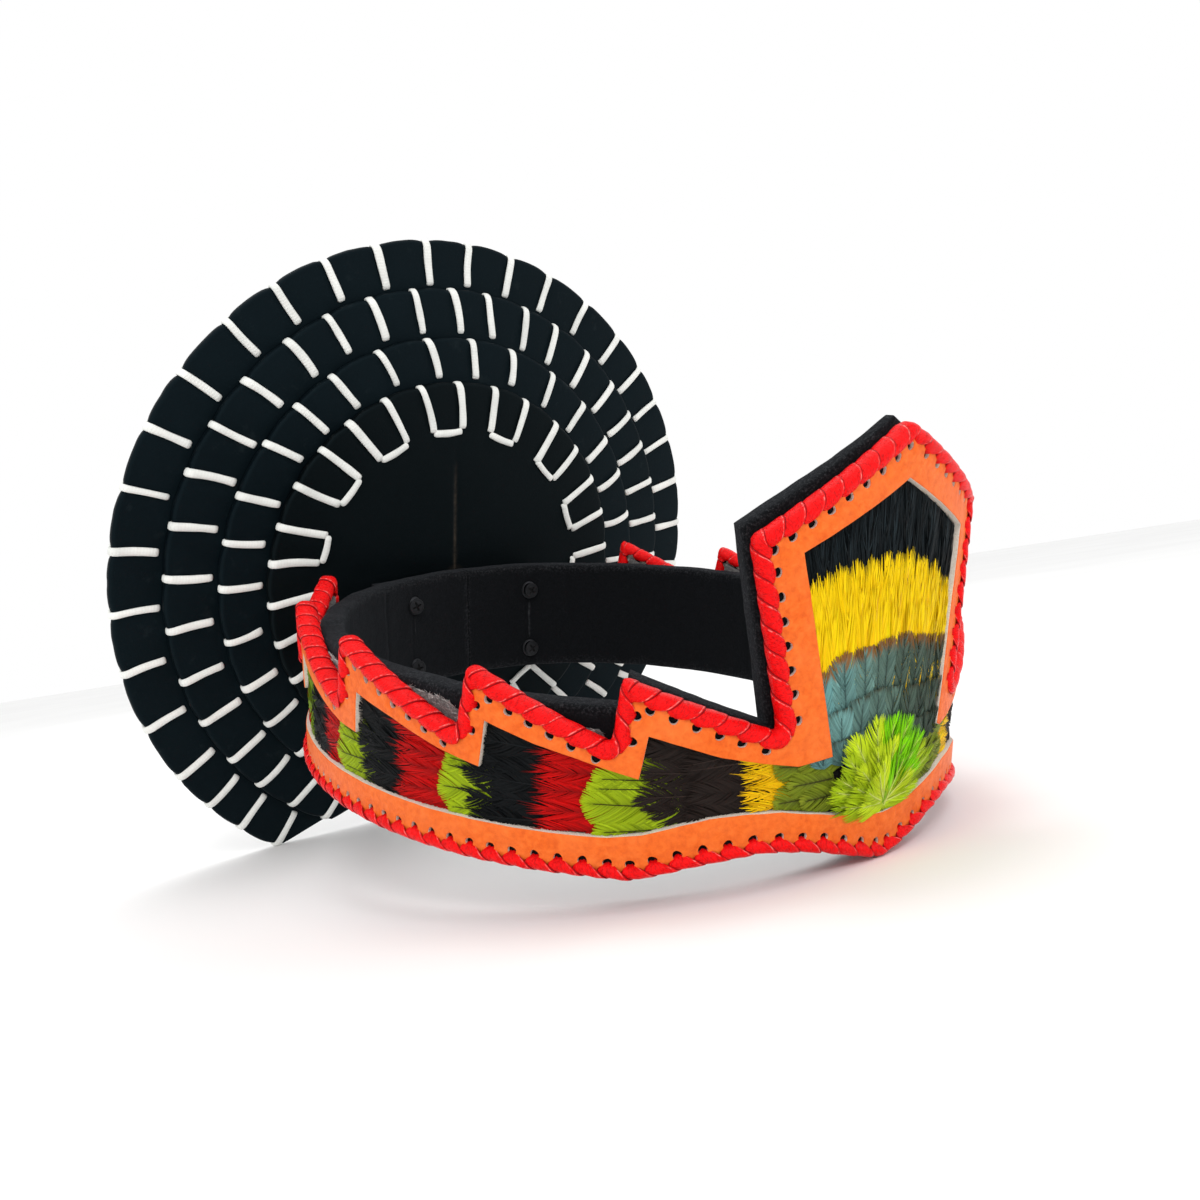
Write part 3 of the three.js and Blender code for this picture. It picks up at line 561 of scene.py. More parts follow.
def board(k):
    R, d0 = FAN_R[k], FAN_PITCH * (3 - k)
    n = 520
    th = np.linspace(0, 2 * math.pi, n, endpoint=False)
    d = near_stitch(th, k, R)
    rim = R + 0.42 * (1 - np.exp(-(d / 4.2) ** 2)) - 0.62 * np.exp(-(d / 1.9) ** 2) + 0.28 * vnoise(th * 9, 0.5, k) + 0.12 * vnoise(th * 40, 3.5, k)
    if k < 3:
        den = -np.sin(th) - FAN_SLOPE * np.abs(np.cos(th))
        roof = np.where(den > 0.05, FAN_ROOF / np.maximum(den, 0.05), 1e9)
        m = np.minimum(rim, roof) - 0.25 * np.exp(-((rim - roof) / 1.6) ** 2)
        rim = np.where(den > 0.05, m, rim)
    t2, c = FAN_T / 2, 1.25            # half thickness, edge radius
    # (distance in from the rim, depth) round the section
    prof = [(d_, 0.0, 1) for d_ in (70, 62, 54, 46, 39, 33, 28, 24, 20.5, 17.5, 15, 12.2, 9.6, 7.2, 5.2, 3.6, 2.4, 1.6)]
    prof += [(c * (1 - math.sin(a)), c * (1 - math.cos(a)), 1) for a in np.linspace(0.12, math.pi / 2, 5, endpoint=False)]
    prof += [(0.0, t2, 0)]
    prof += [(c * (1 - math.sin(a)), FAN_T - c * (1 - math.cos(a)), 0) for a in np.linspace(math.pi / 2, 0.12, 6)[1:]]
    prof += [(d_, FAN_T, 0) for d_ in ((1.6, 4, 7.5, 11, 14.5, 20, 30, 46, 66) if k == 0 else (1.6, 8, 66))]
    V, nr = [], len(prof)
    for ins, dep, frontside in prof:
        r = rim - (ins if ins <= 10 else 10 + (ins - 10) * (70 * rim / R - 10) / 60)
        inw = math.exp(-((ins - 7.5) / 8.5) ** 2)
        dd = near_stitch(th, k, max(R - ins, 10))
        puff = (0.26 * (1 - np.exp(-(dd / 3.2) ** 2)) - 0.30 * np.exp(-(dd / 1.7) ** 2)) * inw
        big = 0.10 * vnoise(r * np.cos(th) / 24, r * np.sin(th) / 24, 20 + k) * min(1, ins / 3)
        z = dep - (puff + big) if frontside else dep + (puff * 0.8 + big) * (k == 0)
        V.append(np.stack([r * np.cos(th), r * np.sin(th), d0 + z], -1))
    V = np.concatenate(V)
    idx = np.arange(nr * n).reshape(nr, n)
    a, b = idx[:-1], idx[1:]
    quads = np.stack([a, np.roll(a, -1, 1), np.roll(b, -1, 1), b], -1).reshape(-1, 4)
    cen = [[0, 0, d0 - 0.05], [0, 0, d0 + FAN_T]]
    V = np.concatenate([V, cen]); cf, cb = nr * n, nr * n + 1
    f = quads.tolist()
    f += [[int(cf), int(idx[0, (i + 1) % n]), int(idx[0, i])] for i in range(n)]
    f += [[int(cb), int(idx[-1, i]), int(idx[-1, (i + 1) % n])] for i in range(n)]
    f = [q[::-1] for q in f]
    x, w = V[:, 0], V[:, 1]
    crease = np.exp(-(x / 0.55) ** 2) * np.clip((w + 16) / 12, 0, 1) * np.clip((46 - w) / 14, 0, 1) if k == 3 else np.zeros(len(V))
    if k == 3:
        V[:, 2] += np.where(V[:, 2] < d0 + 1, 0.22 * np.exp(-(x / 1.2) ** 2) * np.clip((w + 30) / 20, 0, 1) * np.clip((55 - w) / 20, 0, 1), 0)
    P = world(fan(x, w, V[:, 2]))
    P[:, 2] = np.maximum(P[:, 2], 0.0)
    o = make('fan_board_%d' % (k + 1), P, f, [FOLD if k == 3 else LEATHERETTE], attrs={'crease': crease})
    return piece(o, 'leatherette', 'fan_tier_%d' % (k + 1))


class Tubes:
    """flat threads gathered in one mesh"""

    def __init__(self):
        self.v, self.f, self.a, self.n, self.k = [], [], [], 0, 0

    def add(self, P, N, w, t, sides=8, flat=False, lean=0.0, power=0.8):
        """P: path, N: the surface's normal along it, w: width, t: thickness, lean: tilt across"""
        P, N = np.asarray(P, float), np.asarray(N, float)
        T = np.gradient(P, axis=0); T /= np.linalg.norm(T, axis=1, keepdims=True)
        B = np.cross(T, N); B /= np.linalg.norm(B, axis=1, keepdims=True); N = np.cross(B, T)
        if lean:
            B, N = B * math.cos(lean) + N * math.sin(lean), N * math.cos(lean) - B * math.sin(lean)
        L = np.concatenate([[0], np.cumsum(np.linalg.norm(np.diff(P, axis=0), axis=1))])
        ph = np.linspace(0, 2 * math.pi, sides, endpoint=False)
        c, s = np.cos(ph), np.sin(ph)
        c = np.sign(c) * np.abs(c) ** power; s = np.sign(s) * np.abs(s) ** 0.8
        m = len(P)
        V = P[:, None] + B[:, None] * (c[None, :, None] * w[:, None, None] / 2) + N[:, None] * (s[None, :, None] * t[:, None, None] / 2)
        self.v.append(V.reshape(-1, 3)); self.v.append(P[[0, -1]])
        self.k += 1
        U = np.repeat(L / 2, sides); Vv = np.tile(np.cos(ph) if flat else ph / math.pi - 1, m)
        self.a.append(np.stack([U, Vv, np.full(m * sides, self.k * 1.37)], 1)); self.a.append(np.array([[0, 0, 0], [L[-1] / 2, 0, 0.0]]))
        i = np.arange(m * sides).reshape(m, sides) + self.n
        a, b = i[:-1], i[1:]
        q = np.stack([a, np.roll(a, -1, 1), np.roll(b, -1, 1), b], -1).reshape(-1, 4).tolist()
        s0, s1 = self.n + m * sides, self.n + m * sides + 1
        q += [[int(s0), int(i[0, (j + 1) % sides]), int(i[0, j])] for j in range(sides)]
        q += [[int(s1), int(i[-1, j]), int(i[-1, (j + 1) % sides])] for j in range(sides)]
        self.f += q; self.n += m * sides + 2

    def make(self, name, mat, place, floor=None):
        P = place(np.concatenate(self.v))
        if floor is not None:
            P[:, 2] = np.maximum(P[:, 2], floor)
        return make(name, P, self.f, [mat], attrs={'uvk': np.concatenate(self.a)})


def smooth_path(P, step=0.5, rounds=6):
    """even steps along a broken line, corners eased"""
    P = np.asarray(P, float)
    L = np.concatenate([[0], np.cumsum(np.linalg.norm(np.diff(P, axis=0), axis=1))])
    n = max(6, int(L[-1] / step)); q = np.linspace(0, L[-1], n)
    Q = np.stack([np.interp(q, L, P[:, i]) for i in range(P.shape[1])], 1)
    for _ in range(rounds):
        Q[1:-1] = 0.25 * Q[:-2] + 0.5 * Q[1:-1] + 0.25 * Q[2:]
    return Q


def stitches(k):
    R, d0, T = FAN_R[k], FAN_PITCH * (3 - k), Tubes()
    st = sorted(FAN_STITCH[k], reverse=True)
    for i, (ao, ai) in enumerate(st):
        r1 = R - 0.35
        ri = FAN_INNER[k] + rng.normal(0, 0.45)
        if k < 3:
            sn = -math.sin(ao * D2R) - FAN_SLOPE * abs(math.cos(ao * D2R))
            if sn > 0.05 and FAN_ROOF / sn < R - 1.0:
                continue
        # (radius, depth, share of the way from inner end to rim)
        back = [(r1 - 1.2, d0 + FAN_T + 0.42), (r1 - 4, d0 + FAN_T + 0.45)]
        sec = [(ri - 0.2, d0 + 1.2), (ri + 0.15, d0 + 0.2), (ri + 1.0, d0 - 0.42), (ri + 3, d0 - 0.5), (r1 - 4, d0 - 0.52), (r1 - 1.3, d0 - 0.45), (r1 - 0.1, d0 + 0.25), (r1 + 0.42, d0 + 1.1),
               (r1 + 0.45, d0 + 2.2), (r1 - 0.1, d0 + 3.05)] + back
        if k == 0:
            sec += [(FAN_BACK + 3, d0 + FAN_T + 0.5), (FAN_BACK + 0.8, d0 + FAN_T + 0.4), (FAN_BACK, d0 + FAN_T - 0.4), (FAN_BACK - 0.1, d0 + FAN_T - 1.2)]
        else:
            sec[-2:] = [(r1 - 1.6, d0 + 3.1), (r1 - 3.0, d0 + 2.4)]
        S = smooth_path(sec, 0.68, 2)
        rr, dd = S[:, 0], S[:, 1]
        turn = int(np.argmax(rr))
        bow = rng.normal(0, 0.35)
        f = np.zeros(len(S))
        f[:turn + 1] = np.clip((rr[:turn + 1] - ri) / (r1 - ri), 0, 1)
        ang = ai + (ao - ai) * f
        if k == 0:                     # on the back each stitch slants to the next hole
            nxt = st[i + 1][1] if i + 1 < len(st) else ao - 8.8
            g = np.clip((r1 - rr[turn:]) / (r1 - FAN_BACK), 0, 1)
            ang[turn:] = ao + (nxt - ao) * g
        else:
            ang[turn:] = ao
        ang = ang + bow * np.sin(np.pi * f) / R / D2R
        a = ang * D2R
        P = np.stack([rr * np.cos(a), rr * np.sin(a), dd], 1)
        # outward normal in the section's plane
        tr, td = np.gradient(rr), np.gradient(dd); h = np.hypot(tr, td)
        nr_, nd_ = td / h * -1, tr / h
        # the normal that points away from the board
        sgn = np.sign(nr_ * (rr - (r1 - 3)) + nd_ * (dd - (d0 + FAN_T / 2))); sgn[sgn == 0] = 1
        s0 = np.where(np.abs(dd - (d0 + FAN_T / 2)) > 1.2, np.sign(nd_ * (dd - (d0 + FAN_T / 2))), np.sign(nr_))
        N = np.stack([nr_ * s0 * np.cos(a), nr_ * s0 * np.sin(a), nd_ * s0], 1)
        q = np.linspace(0, 1, len(S))
        ends = np.minimum(1, np.minimum(np.arange(len(S)) / 2.5, np.arange(len(S))[::-1] / 2.5) * 0.6 + 0.45)
        w = (2.86 + 0.05 * (k == 0) + 0.18 * rng.normal() + 0.30 * vnoise(q * 4.3 + i * 3.1, k + 0.5, 3)) * ends
        t = (1.32 + 0.10 * vnoise(q * 3.3 + i * 5.1, k + 0.9, 4)) * ends
        T.add(P, N, w, t)
    if k == 3:                         # links along the inner ends, hole to hole
        ins = sorted([a[1] for a in st])
        pairs = [(14.2, 26.2)]
        n = len(ins); j0 = min(range(n), key=lambda j: abs(ins[j] - 26.2))
        pairs = [((ins[(j0 + 2 * m - 1) % n]), (ins[(j0 + 2 * m) % n])) for m in range(n // 2)]
        for a0, a1 in pairs:
            if a1 < a0:
                a1 += 360
            q = np.linspace(0, 1, 26); r = FAN_INNER[3] - 0.1 + rng.normal(0, 0.25) - 1.1 * np.sin(np.pi * q) * 0.35
            a = (a0 + (a1 - a0) * q) * D2R
            P0, P1 = np.array([math.cos(a[0]), math.sin(a[0])]), np.array([math.cos(a[-1]), math.sin(a[-1])])
            chord = (P0[None] * (1 - q[:, None]) + P1[None] * q[:, None]) * r[:, None]
            lift = -0.5 + 1.6 * np.exp(-(np.minimum(q, 1 - q) / 0.045) ** 2)
            P = np.column_stack([chord, d0 + lift])
            w = (2.6 + 0.3 * vnoise(q * 3 + a0, 1.5, 6)) * np.minimum(1, np.minimum(q, 1 - q) * 12 + 0.5)
            T.add(P, np.tile([0, 0, -1.0], (len(q), 1)), w, np.full(len(q), 1.15))
    o = T.make('fan_stitches_%d' % (k + 1), THREAD, lambda V: world(fan(V[:, 0], V[:, 1], V[:, 2])), 0.0)
    return piece(o, 'leatherette')


for k in range(4):
    board(k)
    stitches(k)

# ------------------------------------------------------------------ head band, padding, leather
def ring(upper, lower):
    return np.concatenate([upper, lower[::-1]])


def shift_in(path, d):
    """an open path moved sideways, mitred; positive d moves it down"""
    P = np.asarray(path, float); D = np.diff(P, axis=0); D /= np.linalg.norm(D, axis=1, keepdims=True)
    N = np.stack([D[:, 1], -D[:, 0]], 1)
    a, b = np.vstack([N[:1], N]), np.vstack([N, N[-1:]])
    return P + d * (a + b) / (1 + (a * b).sum(1))[:, None]


def clip_ends(P, d):
    P = np.array(P, float); P[:, 0] = np.clip(P[:, 0], -FRONT_END + d, FRONT_END - d); return P


T1 = TEETH[0]
BOARD_TOP = around(BOARD_CREST, [(T1[0] - 0.8, T1[1] - 0.7), (T1[0] + 0.4, 0), (HALF_ARC + 0.8, 0)])
BOARD_LOW = np.array(mirror([(s, z + 1) for s, z in BOTTOM[:-1]] + [(120, -41.5), (HALF_ARC + 0.8, -41.5)]), float)
CREASES = [(-278, 0.30, 0.9), (279, 0.32, 0.9), (267, 0.22, 0.8), (-296, 0.10, 0.5), (299.5, 0.14, 0.5), (-205, 0.2, 1.2), (190, 0.22, 1.2), (-125, 0.25, 1.4), (134, 0.2, 1.3),
           (-238, 0.18, 1.0), (232, 0.16, 1.1), (158, 0.14, 0.9), (-60, 0.2, 1.2), (78, 0.18, 1.2)]


def swell_band(V):
    s, z, l = V.T
    inner = np.clip((3.8 - l) / 3.8, 0, 1)
    d = 0.22 * vnoise(s / 16, z / 11, 31) + 0.10 * vnoise(s / 5.2, z / 4.6, 32)
    for s0, deep, wide in CREASES:
        wander = s0 + 0.8 * vnoise(z / 9, s0, 33)
        d = d + deep * np.exp(-((s - wander) / wide) ** 2) - 0.35 * deep * np.exp(-((s - wander - 2.2) / 1.6) ** 2)
    l2 = l + inner * d
    dish = np.clip((z - 14) / 44, 0, 1) ** 1.5 * np.exp(-((s - 5) / 26) ** 2)      # the crest board thins towards its point
    l2 = l2 + 4.0 * dish * np.clip(1 - l / 7.6, 0, 1)
    outer = np.clip((l - 3.8) / 3.8, 0, 1)
    l2 = l2 + outer * np.where(np.abs(s) > FRONT_END + 4, 0.16 * vnoise(s / 14, z / 9, 34), 0.05 * vnoise(s / 14, z / 9, 34))
    free = (np.abs(s) > 30) & (np.abs(s) < HALF_ARC - 3)
    z2 = z + np.where(free & (z > -4), 0.28 * vnoise(s / 11, 1.5, 35) - 0.12, 0) + np.where(free & (z < -36), 0.18 * vnoise(s / 13, 2.5, 36) + 0.1, 0)
    return np.stack([s, z2, np.where((l > 3.8), l2, np.maximum(l2, -0.25))], 1)


def columns():
    out = []
    for s0, deep, wide in CREASES:
        for o in (-1.8, -0.9, -0.35, 0.35, 0.9, 1.8, 2.8):
            out += [(s0 + o * wide, z) for z in np.arange(-40, 66, 2.4)]
    return out


ROUND = [(1.5, 7.6), (0.95, 7.5), (0.5, 7.2), (0.17, 6.75), (0.0, 6.1), (0.0, 3.8), (0.0, 1.5), (0.17, 0.85), (0.5, 0.4), (0.95, 0.1), (1.5, 0.0)]
band_o = slab('head_band_felt', ring(BOARD_TOP, BOARD_LOW), ROUND, [FELT], step=1.6, grid=2.5, wobble=0.09, swell=swell_band, seed=3, face_mats=(0, 0, 0), extra=columns())
piece(band_o, 'black_felt', 'head_band')

pad_top = shift_in(TOP_P, 4.6); pad_low = BOT_P + [0, 4.6]
pad = slab('side_padding_felt', ring(clip_ends(pad_top, 0.6), clip_ends(pad_low, 0.6)), [(0.5, 10.6), (0.1, 10.3), (0.0, 9.2), (0.1, 8.2), (0.5, 7.9)], [RAW], step=2.2, grid=4.0, wobble=0.15, face_mats=(0, 0, 0), seed=8)
piece(pad, 'raw_felt', 'side_padding')

# unbound felt that shows in the valleys, with its loose hairs
for sgn, tag in ((-1, 'right'), (1, 'left')):
    ss = np.arange(75, 250, 1.5)
    zt = np.interp(ss, [75, 78, 96, 109, 112, 117, 122, 140, 158, 162, 175, 208, 214, 230, 250], [-9, -6.2, -5.0, -4.6, -7.5, -6.5, -3.0, -2.2, -2.4, -6.8, -3.2, -2.8, -6.5, -3.2, -5])
    zt = zt + 0.7 * vnoise(ss / 2.1, sgn * 3.3, 40) + 0.35 * vnoise(ss / 0.9, sgn * 5.3, 41)
    up_ = np.stack([sgn * ss, zt], 1); lo_ = np.stack([sgn * ss, np.full(len(ss), -16.0)], 1)
    o = slab('raw_felt_' + tag, np.concatenate([up_, lo_[::-1]]), [(0.15, 8.25), (0.0, 8.1), (0.0, 7.8), (0.1, 7.65)], [RAW], step=1.5, grid=2.2, seed=12, face_mats=(0, 0, 0),
             swell=lambda V: np.column_stack([V[:, :2], np.where(V[:, 2] > 7.9, V[:, 2] + 0.18 * vnoise(V[:, 0] / 0.9, V[:, 1] / 0.9, 42), V[:, 2])]))
    piece(o, 'raw_felt')

HAIR = Mat('felt_hair'); HAIR.set(color=HAIR.mix(HAIR.map(HAIR.noise(HAIR.obj(), 900, 3), 0.35, 0.65, 0, 1), (0.10, 0.095, 0.09), (0.62, 0.60, 0.57)), rough=0.8, sheen=0.2)
hv, hf = [], []
for j in range(3800):
    sgn = rng.choice([-1, 1]); s0 = rng.uniform(78, 250)
    zt = np.interp(s0, [75, 78, 96, 109, 112, 117, 122, 140, 158, 162, 175, 208, 214, 230, 250], [-9, -6.2, -5.0, -4.6, -7.5, -6.5, -3.0, -2.2, -2.4, -6.8, -3.2, -2.8, -6.5, -3.2, -5])
    z0 = zt - abs(rng.normal(0, 1.6)) + 0.3
    if z0 < -9.5:
        continue
    L = rng.uniform(0.7, 2.6); a = rng.normal(0.9, 0.9) if rng.random() < 0.5 else rng.normal(2.3, 0.8)
    q = np.linspace(0, 1, 4); cu = rng.normal(0, 0.5); lift = abs(rng.normal(0, 0.6))
    S = sgn * s0 + L * q * math.cos(a) + cu * q * q; Zz = z0 + L * q * math.sin(a) * 0.55; Ll = 8.2 + lift * q ** 1.3 * L * 0.5
    w = 0.055 * (1 - 0.7 * q)
    A = np.stack([S - w * math.sin(a), Zz + w * math.cos(a), Ll + 0.03], 1); B = np.stack([S + w * math.sin(a), Zz - w * math.cos(a), Ll - 0.03], 1)
    b0 = len(hv) * 8
    hv.append(np.concatenate([A, B]))
    hf += [[b0 + i, b0 + i + 1, b0 + 5 + i, b0 + 4 + i] for i in range(3)]
hv = np.concatenate(hv)
piece(make('felt_hairs', world(bend(hv[:, 0], hv[:, 1], hv[:, 2])), hf, [HAIR.m]), 'raw_felt')


# ---- lacing holes along an edge
def edge_frame(path, step=0.25, sig=1.2, sig_n=2.4):
    """even points along an open edge with corners eased, and its inward normals"""
    P = np.asarray(path, float); L = np.concatenate([[0], np.cumsum(np.linalg.norm(np.diff(P, axis=0), axis=1))])
    n = int(L[-1] / step) + 1; q = np.linspace(0, L[-1], n)
    Q = np.stack([np.interp(q, L, P[:, i]) for i in range(2)], 1)

    def blur(A, s):
        k = int(4 * s / step); g = np.exp(-0.5 * (np.arange(-k, k + 1) * step / s) ** 2); g /= g.sum()
        B = np.vstack([2 * A[:1] - A[k:0:-1], A, 2 * A[-1:] - A[-2:-k - 2:-1]])
        return np.stack([np.convolve(B[:, i], g, 'valid') for i in range(2)], 1)
    S = blur(Q, sig)
    D = np.gradient(S, axis=0); D = blur(D, sig_n); D /= np.linalg.norm(D, axis=1, keepdims=True)
    return q, S, D


def holes_along(path, pitch, deep, inward_sign, corners):
    """lacing positions: one near every corner, the rest evenly between. Returns edge positions."""
    P = np.asarray(path, float); L = np.concatenate([[0], np.cumsum(np.linalg.norm(np.diff(P, axis=0), axis=1))])
    out = []
    marks = [0] + [i for i in range(1, len(P) - 1) if i in corners] + [len(P) - 1]
    for a, b in zip(marks[:-1], marks[1:]):
        n = max(1, round((L[b] - L[a]) / pitch))
        out += [L[a] + (L[b] - L[a]) * (i + 0.5) / n for i in range(n)]
    return np.array(out)


TOP_E = edge_frame(TOP_P); BOT_E = edge_frame(BOT_P[::-1] if False else BOT_P)
TOP_H = holes_along(TOP_P, 5.9, 5.2, -1, set(range(1, len(TOP_P) - 1)))
BOT_H = holes_along(BOT_P, 6.1, 4.1, 1, {len(BOT_P) // 2})


def on_edge(E, p, h, side):
    """edge position and distance in from the edge -> arc, height. side -1: inside is to the right"""
    q, S, D = E
    x = np.stack([np.interp(p, q, S[:, i]) for i in range(2)], -1); d = np.stack([np.interp(p, q, D[:, i]) for i in range(2)], -1)
    N = np.stack([-d[..., 1], d[..., 0]], -1) * side
    return x + N * np.asarray(h)[..., None]


TOP_DEEP, BOT_DEEP = 4.7, 4.15
top_xy = on_edge(TOP_E, TOP_H, np.full(len(TOP_H), TOP_DEEP), -1)
bot_xy = on_edge(BOT_E, BOT_H, np.full(len(BOT_H), BOT_DEEP), 1)


def apart(C, gap=2.9):
    out = []
    for c in C:
        if all(math.hypot(c[0] - d[0], c[1] - d[1]) > gap for d in out):
            out.append(c)
    return out


top_holes, bot_holes = apart(top_xy), apart(bot_xy)


def punch(c, r=1.2, n=14, seed=0):
    a = np.linspace(0, 2 * math.pi, n, endpoint=False)
    rr = r * (1 + 0.07 * np.sin(3 * a + seed))
    return np.stack([c[0] + rr * np.cos(a), c[1] + rr * np.sin(a)], 1)


SKIN_EDGE = [(0.34, 13.3), (0.14, 13.25), (0.03, 13.1), (0.0, 12.9), (0.0, 11.9), (0.0, 10.9), (0.05, 10.65), (0.2, 10.6)]


def swell_leather(V):
    s, z, l = V.T
    front = l > 12.5
    return np.stack([s, z, np.where(front, l + 0.10 * vnoise(s / 15, z / 10, 51) + 0.05 * vnoise(s / 5, z / 4, 52), l)], 1)


up_out = clip_ends(shift_in(TOP_P, 1.0), 0.2)
upper = slab('leather_upper', ring(up_out, clip_ends(WIN_P, 0.2)), SKIN_EDGE, [ORANGE, CUT], step=1.5, grid=2.6, holes=[punch(c, seed=i) for i, c in enumerate(top_holes)],
             wobble=0.05, swell=swell_leather, face_mats=(0, 1, 1), seed=21, lip=2)
piece(upper, 'orange_leather', 'frame_upper')
lower = slab('leather_lower', ring(clip_ends(LOW_P, 0.2), clip_ends(BOT_P + [0, 1.0], 0.2)), SKIN_EDGE, [ORANGE, CUT], step=1.5, grid=2.6, holes=[punch(c, seed=i) for i, c in enumerate(bot_holes)],
             wobble=0.06, swell=swell_leather, face_mats=(0, 1, 1), seed=22, lip=2)
piece(lower, 'orange_leather', 'frame_lower')

# ------------------------------------------------------------------ red lace, whipped through the holes over the edge
def whip(name, node, E, H, deep, side, seed, floor=None, puff=0.0):
    r = np.random.default_rng(seed); V, F, A, n0 = [], [], [], 0
    Hx = np.concatenate([H, [H[-1] + (H[-1] - H[-2])]]); sides = 14
    ph = np.linspace(0, 2 * math.pi, sides, endpoint=False)
    c0, s0 = np.cos(ph), np.sin(ph)
    c0 = np.sign(c0) * np.abs(c0) ** 0.9; s0 = np.sign(s0) * np.abs(s0) ** 0.75
    for i in range(len(H)):
        p0, p1 = Hx[i], Hx[i + 1]; g = p1 - p0
        j = r.normal(0, 0.10, 8)
        # (share of the way to the next hole, distance in from the edge, layer)
        sec = [(0.00, deep - 0.62, 11.3), (0.00, deep - 0.68, 12.6), (0.02, deep - 0.98, 13.42), (0.07, deep - 1.75, 13.93 + puff), (0.20, deep * 0.50, 14.22 + puff + j[0] * 0.5), (0.34, deep * 0.27, 14.02 + j[1] * 0.5),
               (0.43, 0.66, 13.6), (0.50, 0.26, 12.7), (0.56, 0.12 + j[2] * 0.3, 11.4), (0.62, 0.24, 10.1), (0.68, 0.6, 9.05), (0.75, deep * 0.30, 8.4), (0.87, deep * 0.60, 8.22),
               (0.96, deep - 1.2, 8.5), (1.0, deep - 0.8, 9.6), (1.0, deep - 0.75, 10.4)]
        S = smooth_path(np.array([(p0 + g * a, b, c) for a, b, c in sec]), 0.8, 2)
        p, h, l = S.T; m = len(S)
        dh, dl = np.gradient(h), np.gradient(l); mm = np.hypot(dh, dl) + 1e-9
        n_h, n_l = dl / mm, -dh / mm
        sg = np.where((h - deep * 0.5) * n_h + (l - 11.3) * n_l < 0, -1.0, 1.0); n_h, n_l = n_h * sg, n_l * sg
        q = np.linspace(0, 1, m)
        full = g + 1.15 + 0.25 * j[3] * 4
        x = np.clip((h - (deep - 2.4)) / 1.7, 0, 1)
        w = (full + 0.3 * vnoise(q * 4, i * 1.7, seed)) * np.sqrt(np.clip(1 - x ** 2.2, 0, 1)) * (1 - 0.10 * np.clip(h / deep, 0, 1)) ; w = np.maximum(w, 2.0)
        t = 0.78 + 0.5 * x + 0.06 * vnoise(q * 6, i * 2.3, seed + 1)
        # creases run down from the hole and fade towards the edge
        cr = (0.10 + puff) * np.sin(c0[None] * 9.0 + j[4] * 30) * np.exp(-np.clip(deep - 0.6 - h, 0, 9) / 1.6)[:, None] + 0.05 * np.sin(c0[None] * 5.0 + q[:, None] * 5 + j[5] * 40)
        step = (0.20 + 0.05 * j[6] * 10) * c0[None] * (1 - x[:, None])
        up = s0[None] * t[:, None] / 2 + np.where(s0[None] > 0.2, cr, 0.0) + step
        P = p[:, None] + c0[None] * w[:, None] / 2
        Hh = h[:, None] + n_h[:, None] * up; Ll = l[:, None] + n_l[:, None] * up
        # the lace draws in towards its hole
        V.append(np.stack([P, Hh, Ll], -1).reshape(-1, 3)); V.append(S[[0, -1]])
        L = np.concatenate([[0], np.cumsum(np.hypot(np.diff(h), np.diff(l)))])
        A.append(np.stack([np.repeat(L / 2, sides), np.tile(np.cos(ph), m), np.full(m * sides, (i + 1) * 1.37)], 1)); A.append(np.array([[0, 0, 0], [L[-1] / 2, 0, 0.0]]))
        ix = np.arange(m * sides).reshape(m, sides) + n0; a, b = ix[:-1], ix[1:]
        F += np.stack([a, np.roll(a, -1, 1), np.roll(b, -1, 1), b], -1).reshape(-1, 4).tolist()
        e0, e1 = n0 + m * sides, n0 + m * sides + 1
        F += [[int(e0), int(ix[0, (k + 1) % sides]), int(ix[0, k])] for k in range(sides)]
        F += [[int(e1), int(ix[-1, k]), int(ix[-1, (k + 1) % sides])] for k in range(sides)]
        n0 += m * sides + 2
    V = np.concatenate(V)
    xy = on_edge(E, np.clip(V[:, 0], E[0][0], E[0][-1]), V[:, 1], side)
    P = world(bend(xy[:, 0], xy[:, 1], V[:, 2]))
    if floor is not None:
        P[:, 2] = np.maximum(P[:, 2], floor)
    return piece(make(name, P, F, [LACE], attrs={'uvk': np.concatenate(A)}), 'red_lace', node)


whip('lace_top_wraps', 'lace_top', TOP_E, TOP_H, TOP_DEEP, -1, 11)
whip('lace_bottom_wraps', 'lace_bottom', BOT_E, BOT_H, BOT_DEEP, 1, 12, 0.0, 0.12)


# painted shade: a dark disc in the felt's colour set inside every lacing hole to darken it
V, F = [], []
for c in top_holes + bot_holes:
    a = np.linspace(0, 2 * math.pi, 12, endpoint=False); b0 = len(V)
    V.append([c[0], c[1], 12.35]); V += [[c[0] + 1.14 * math.cos(q), c[1] + 1.14 * math.sin(q), 12.2] for q in a]
    F += [[b0, b0 + 1 + i, b0 + 1 + (i + 1) % 12] for i in range(12)]
V = np.array(V)
piece(make('hole_shade_discs', world(bend(V[:, 0], V[:, 1], V[:, 2])), F, [FELT]), 'black_felt')
# ------------------------------------------------------------------ feathers
def lin(r, g, b):
    """display colour 0-255 -> linear"""
    return np.array([(c / 12.92 if c <= 0.04045 else ((c + 0.055) / 1.055) ** 2.4) for c in (r / 255, g / 255, b / 255)])


FIELD = ring(WIN_P, LOW_P)
if area(FIELD) < 0:
    FIELD = FIELD[::-1].copy()
FIELD = FIELD + inward(FIELD) * 0.12
_FLO, _FHI = FIELD.min(0), FIELD.max(0)
_NS, _NZ = int((_FHI[0] - _FLO[0]) / 0.2) + 2, int((_FHI[1] - _FLO[1]) / 0.2) + 2
_gs, _gz = np.meshgrid(_FLO[0] + 0.2 * np.arange(_NS), _FLO[1] + 0.2 * np.arange(_NZ), indexing='ij')
MASK = inside(np.stack([_gs.ravel(), _gz.ravel()], 1), FIELD).reshape(_NS, _NZ)
RIM = np.full(MASK.size, 9.0)
_near = np.stack([_gs.ravel(), _gz.ravel()], 1)


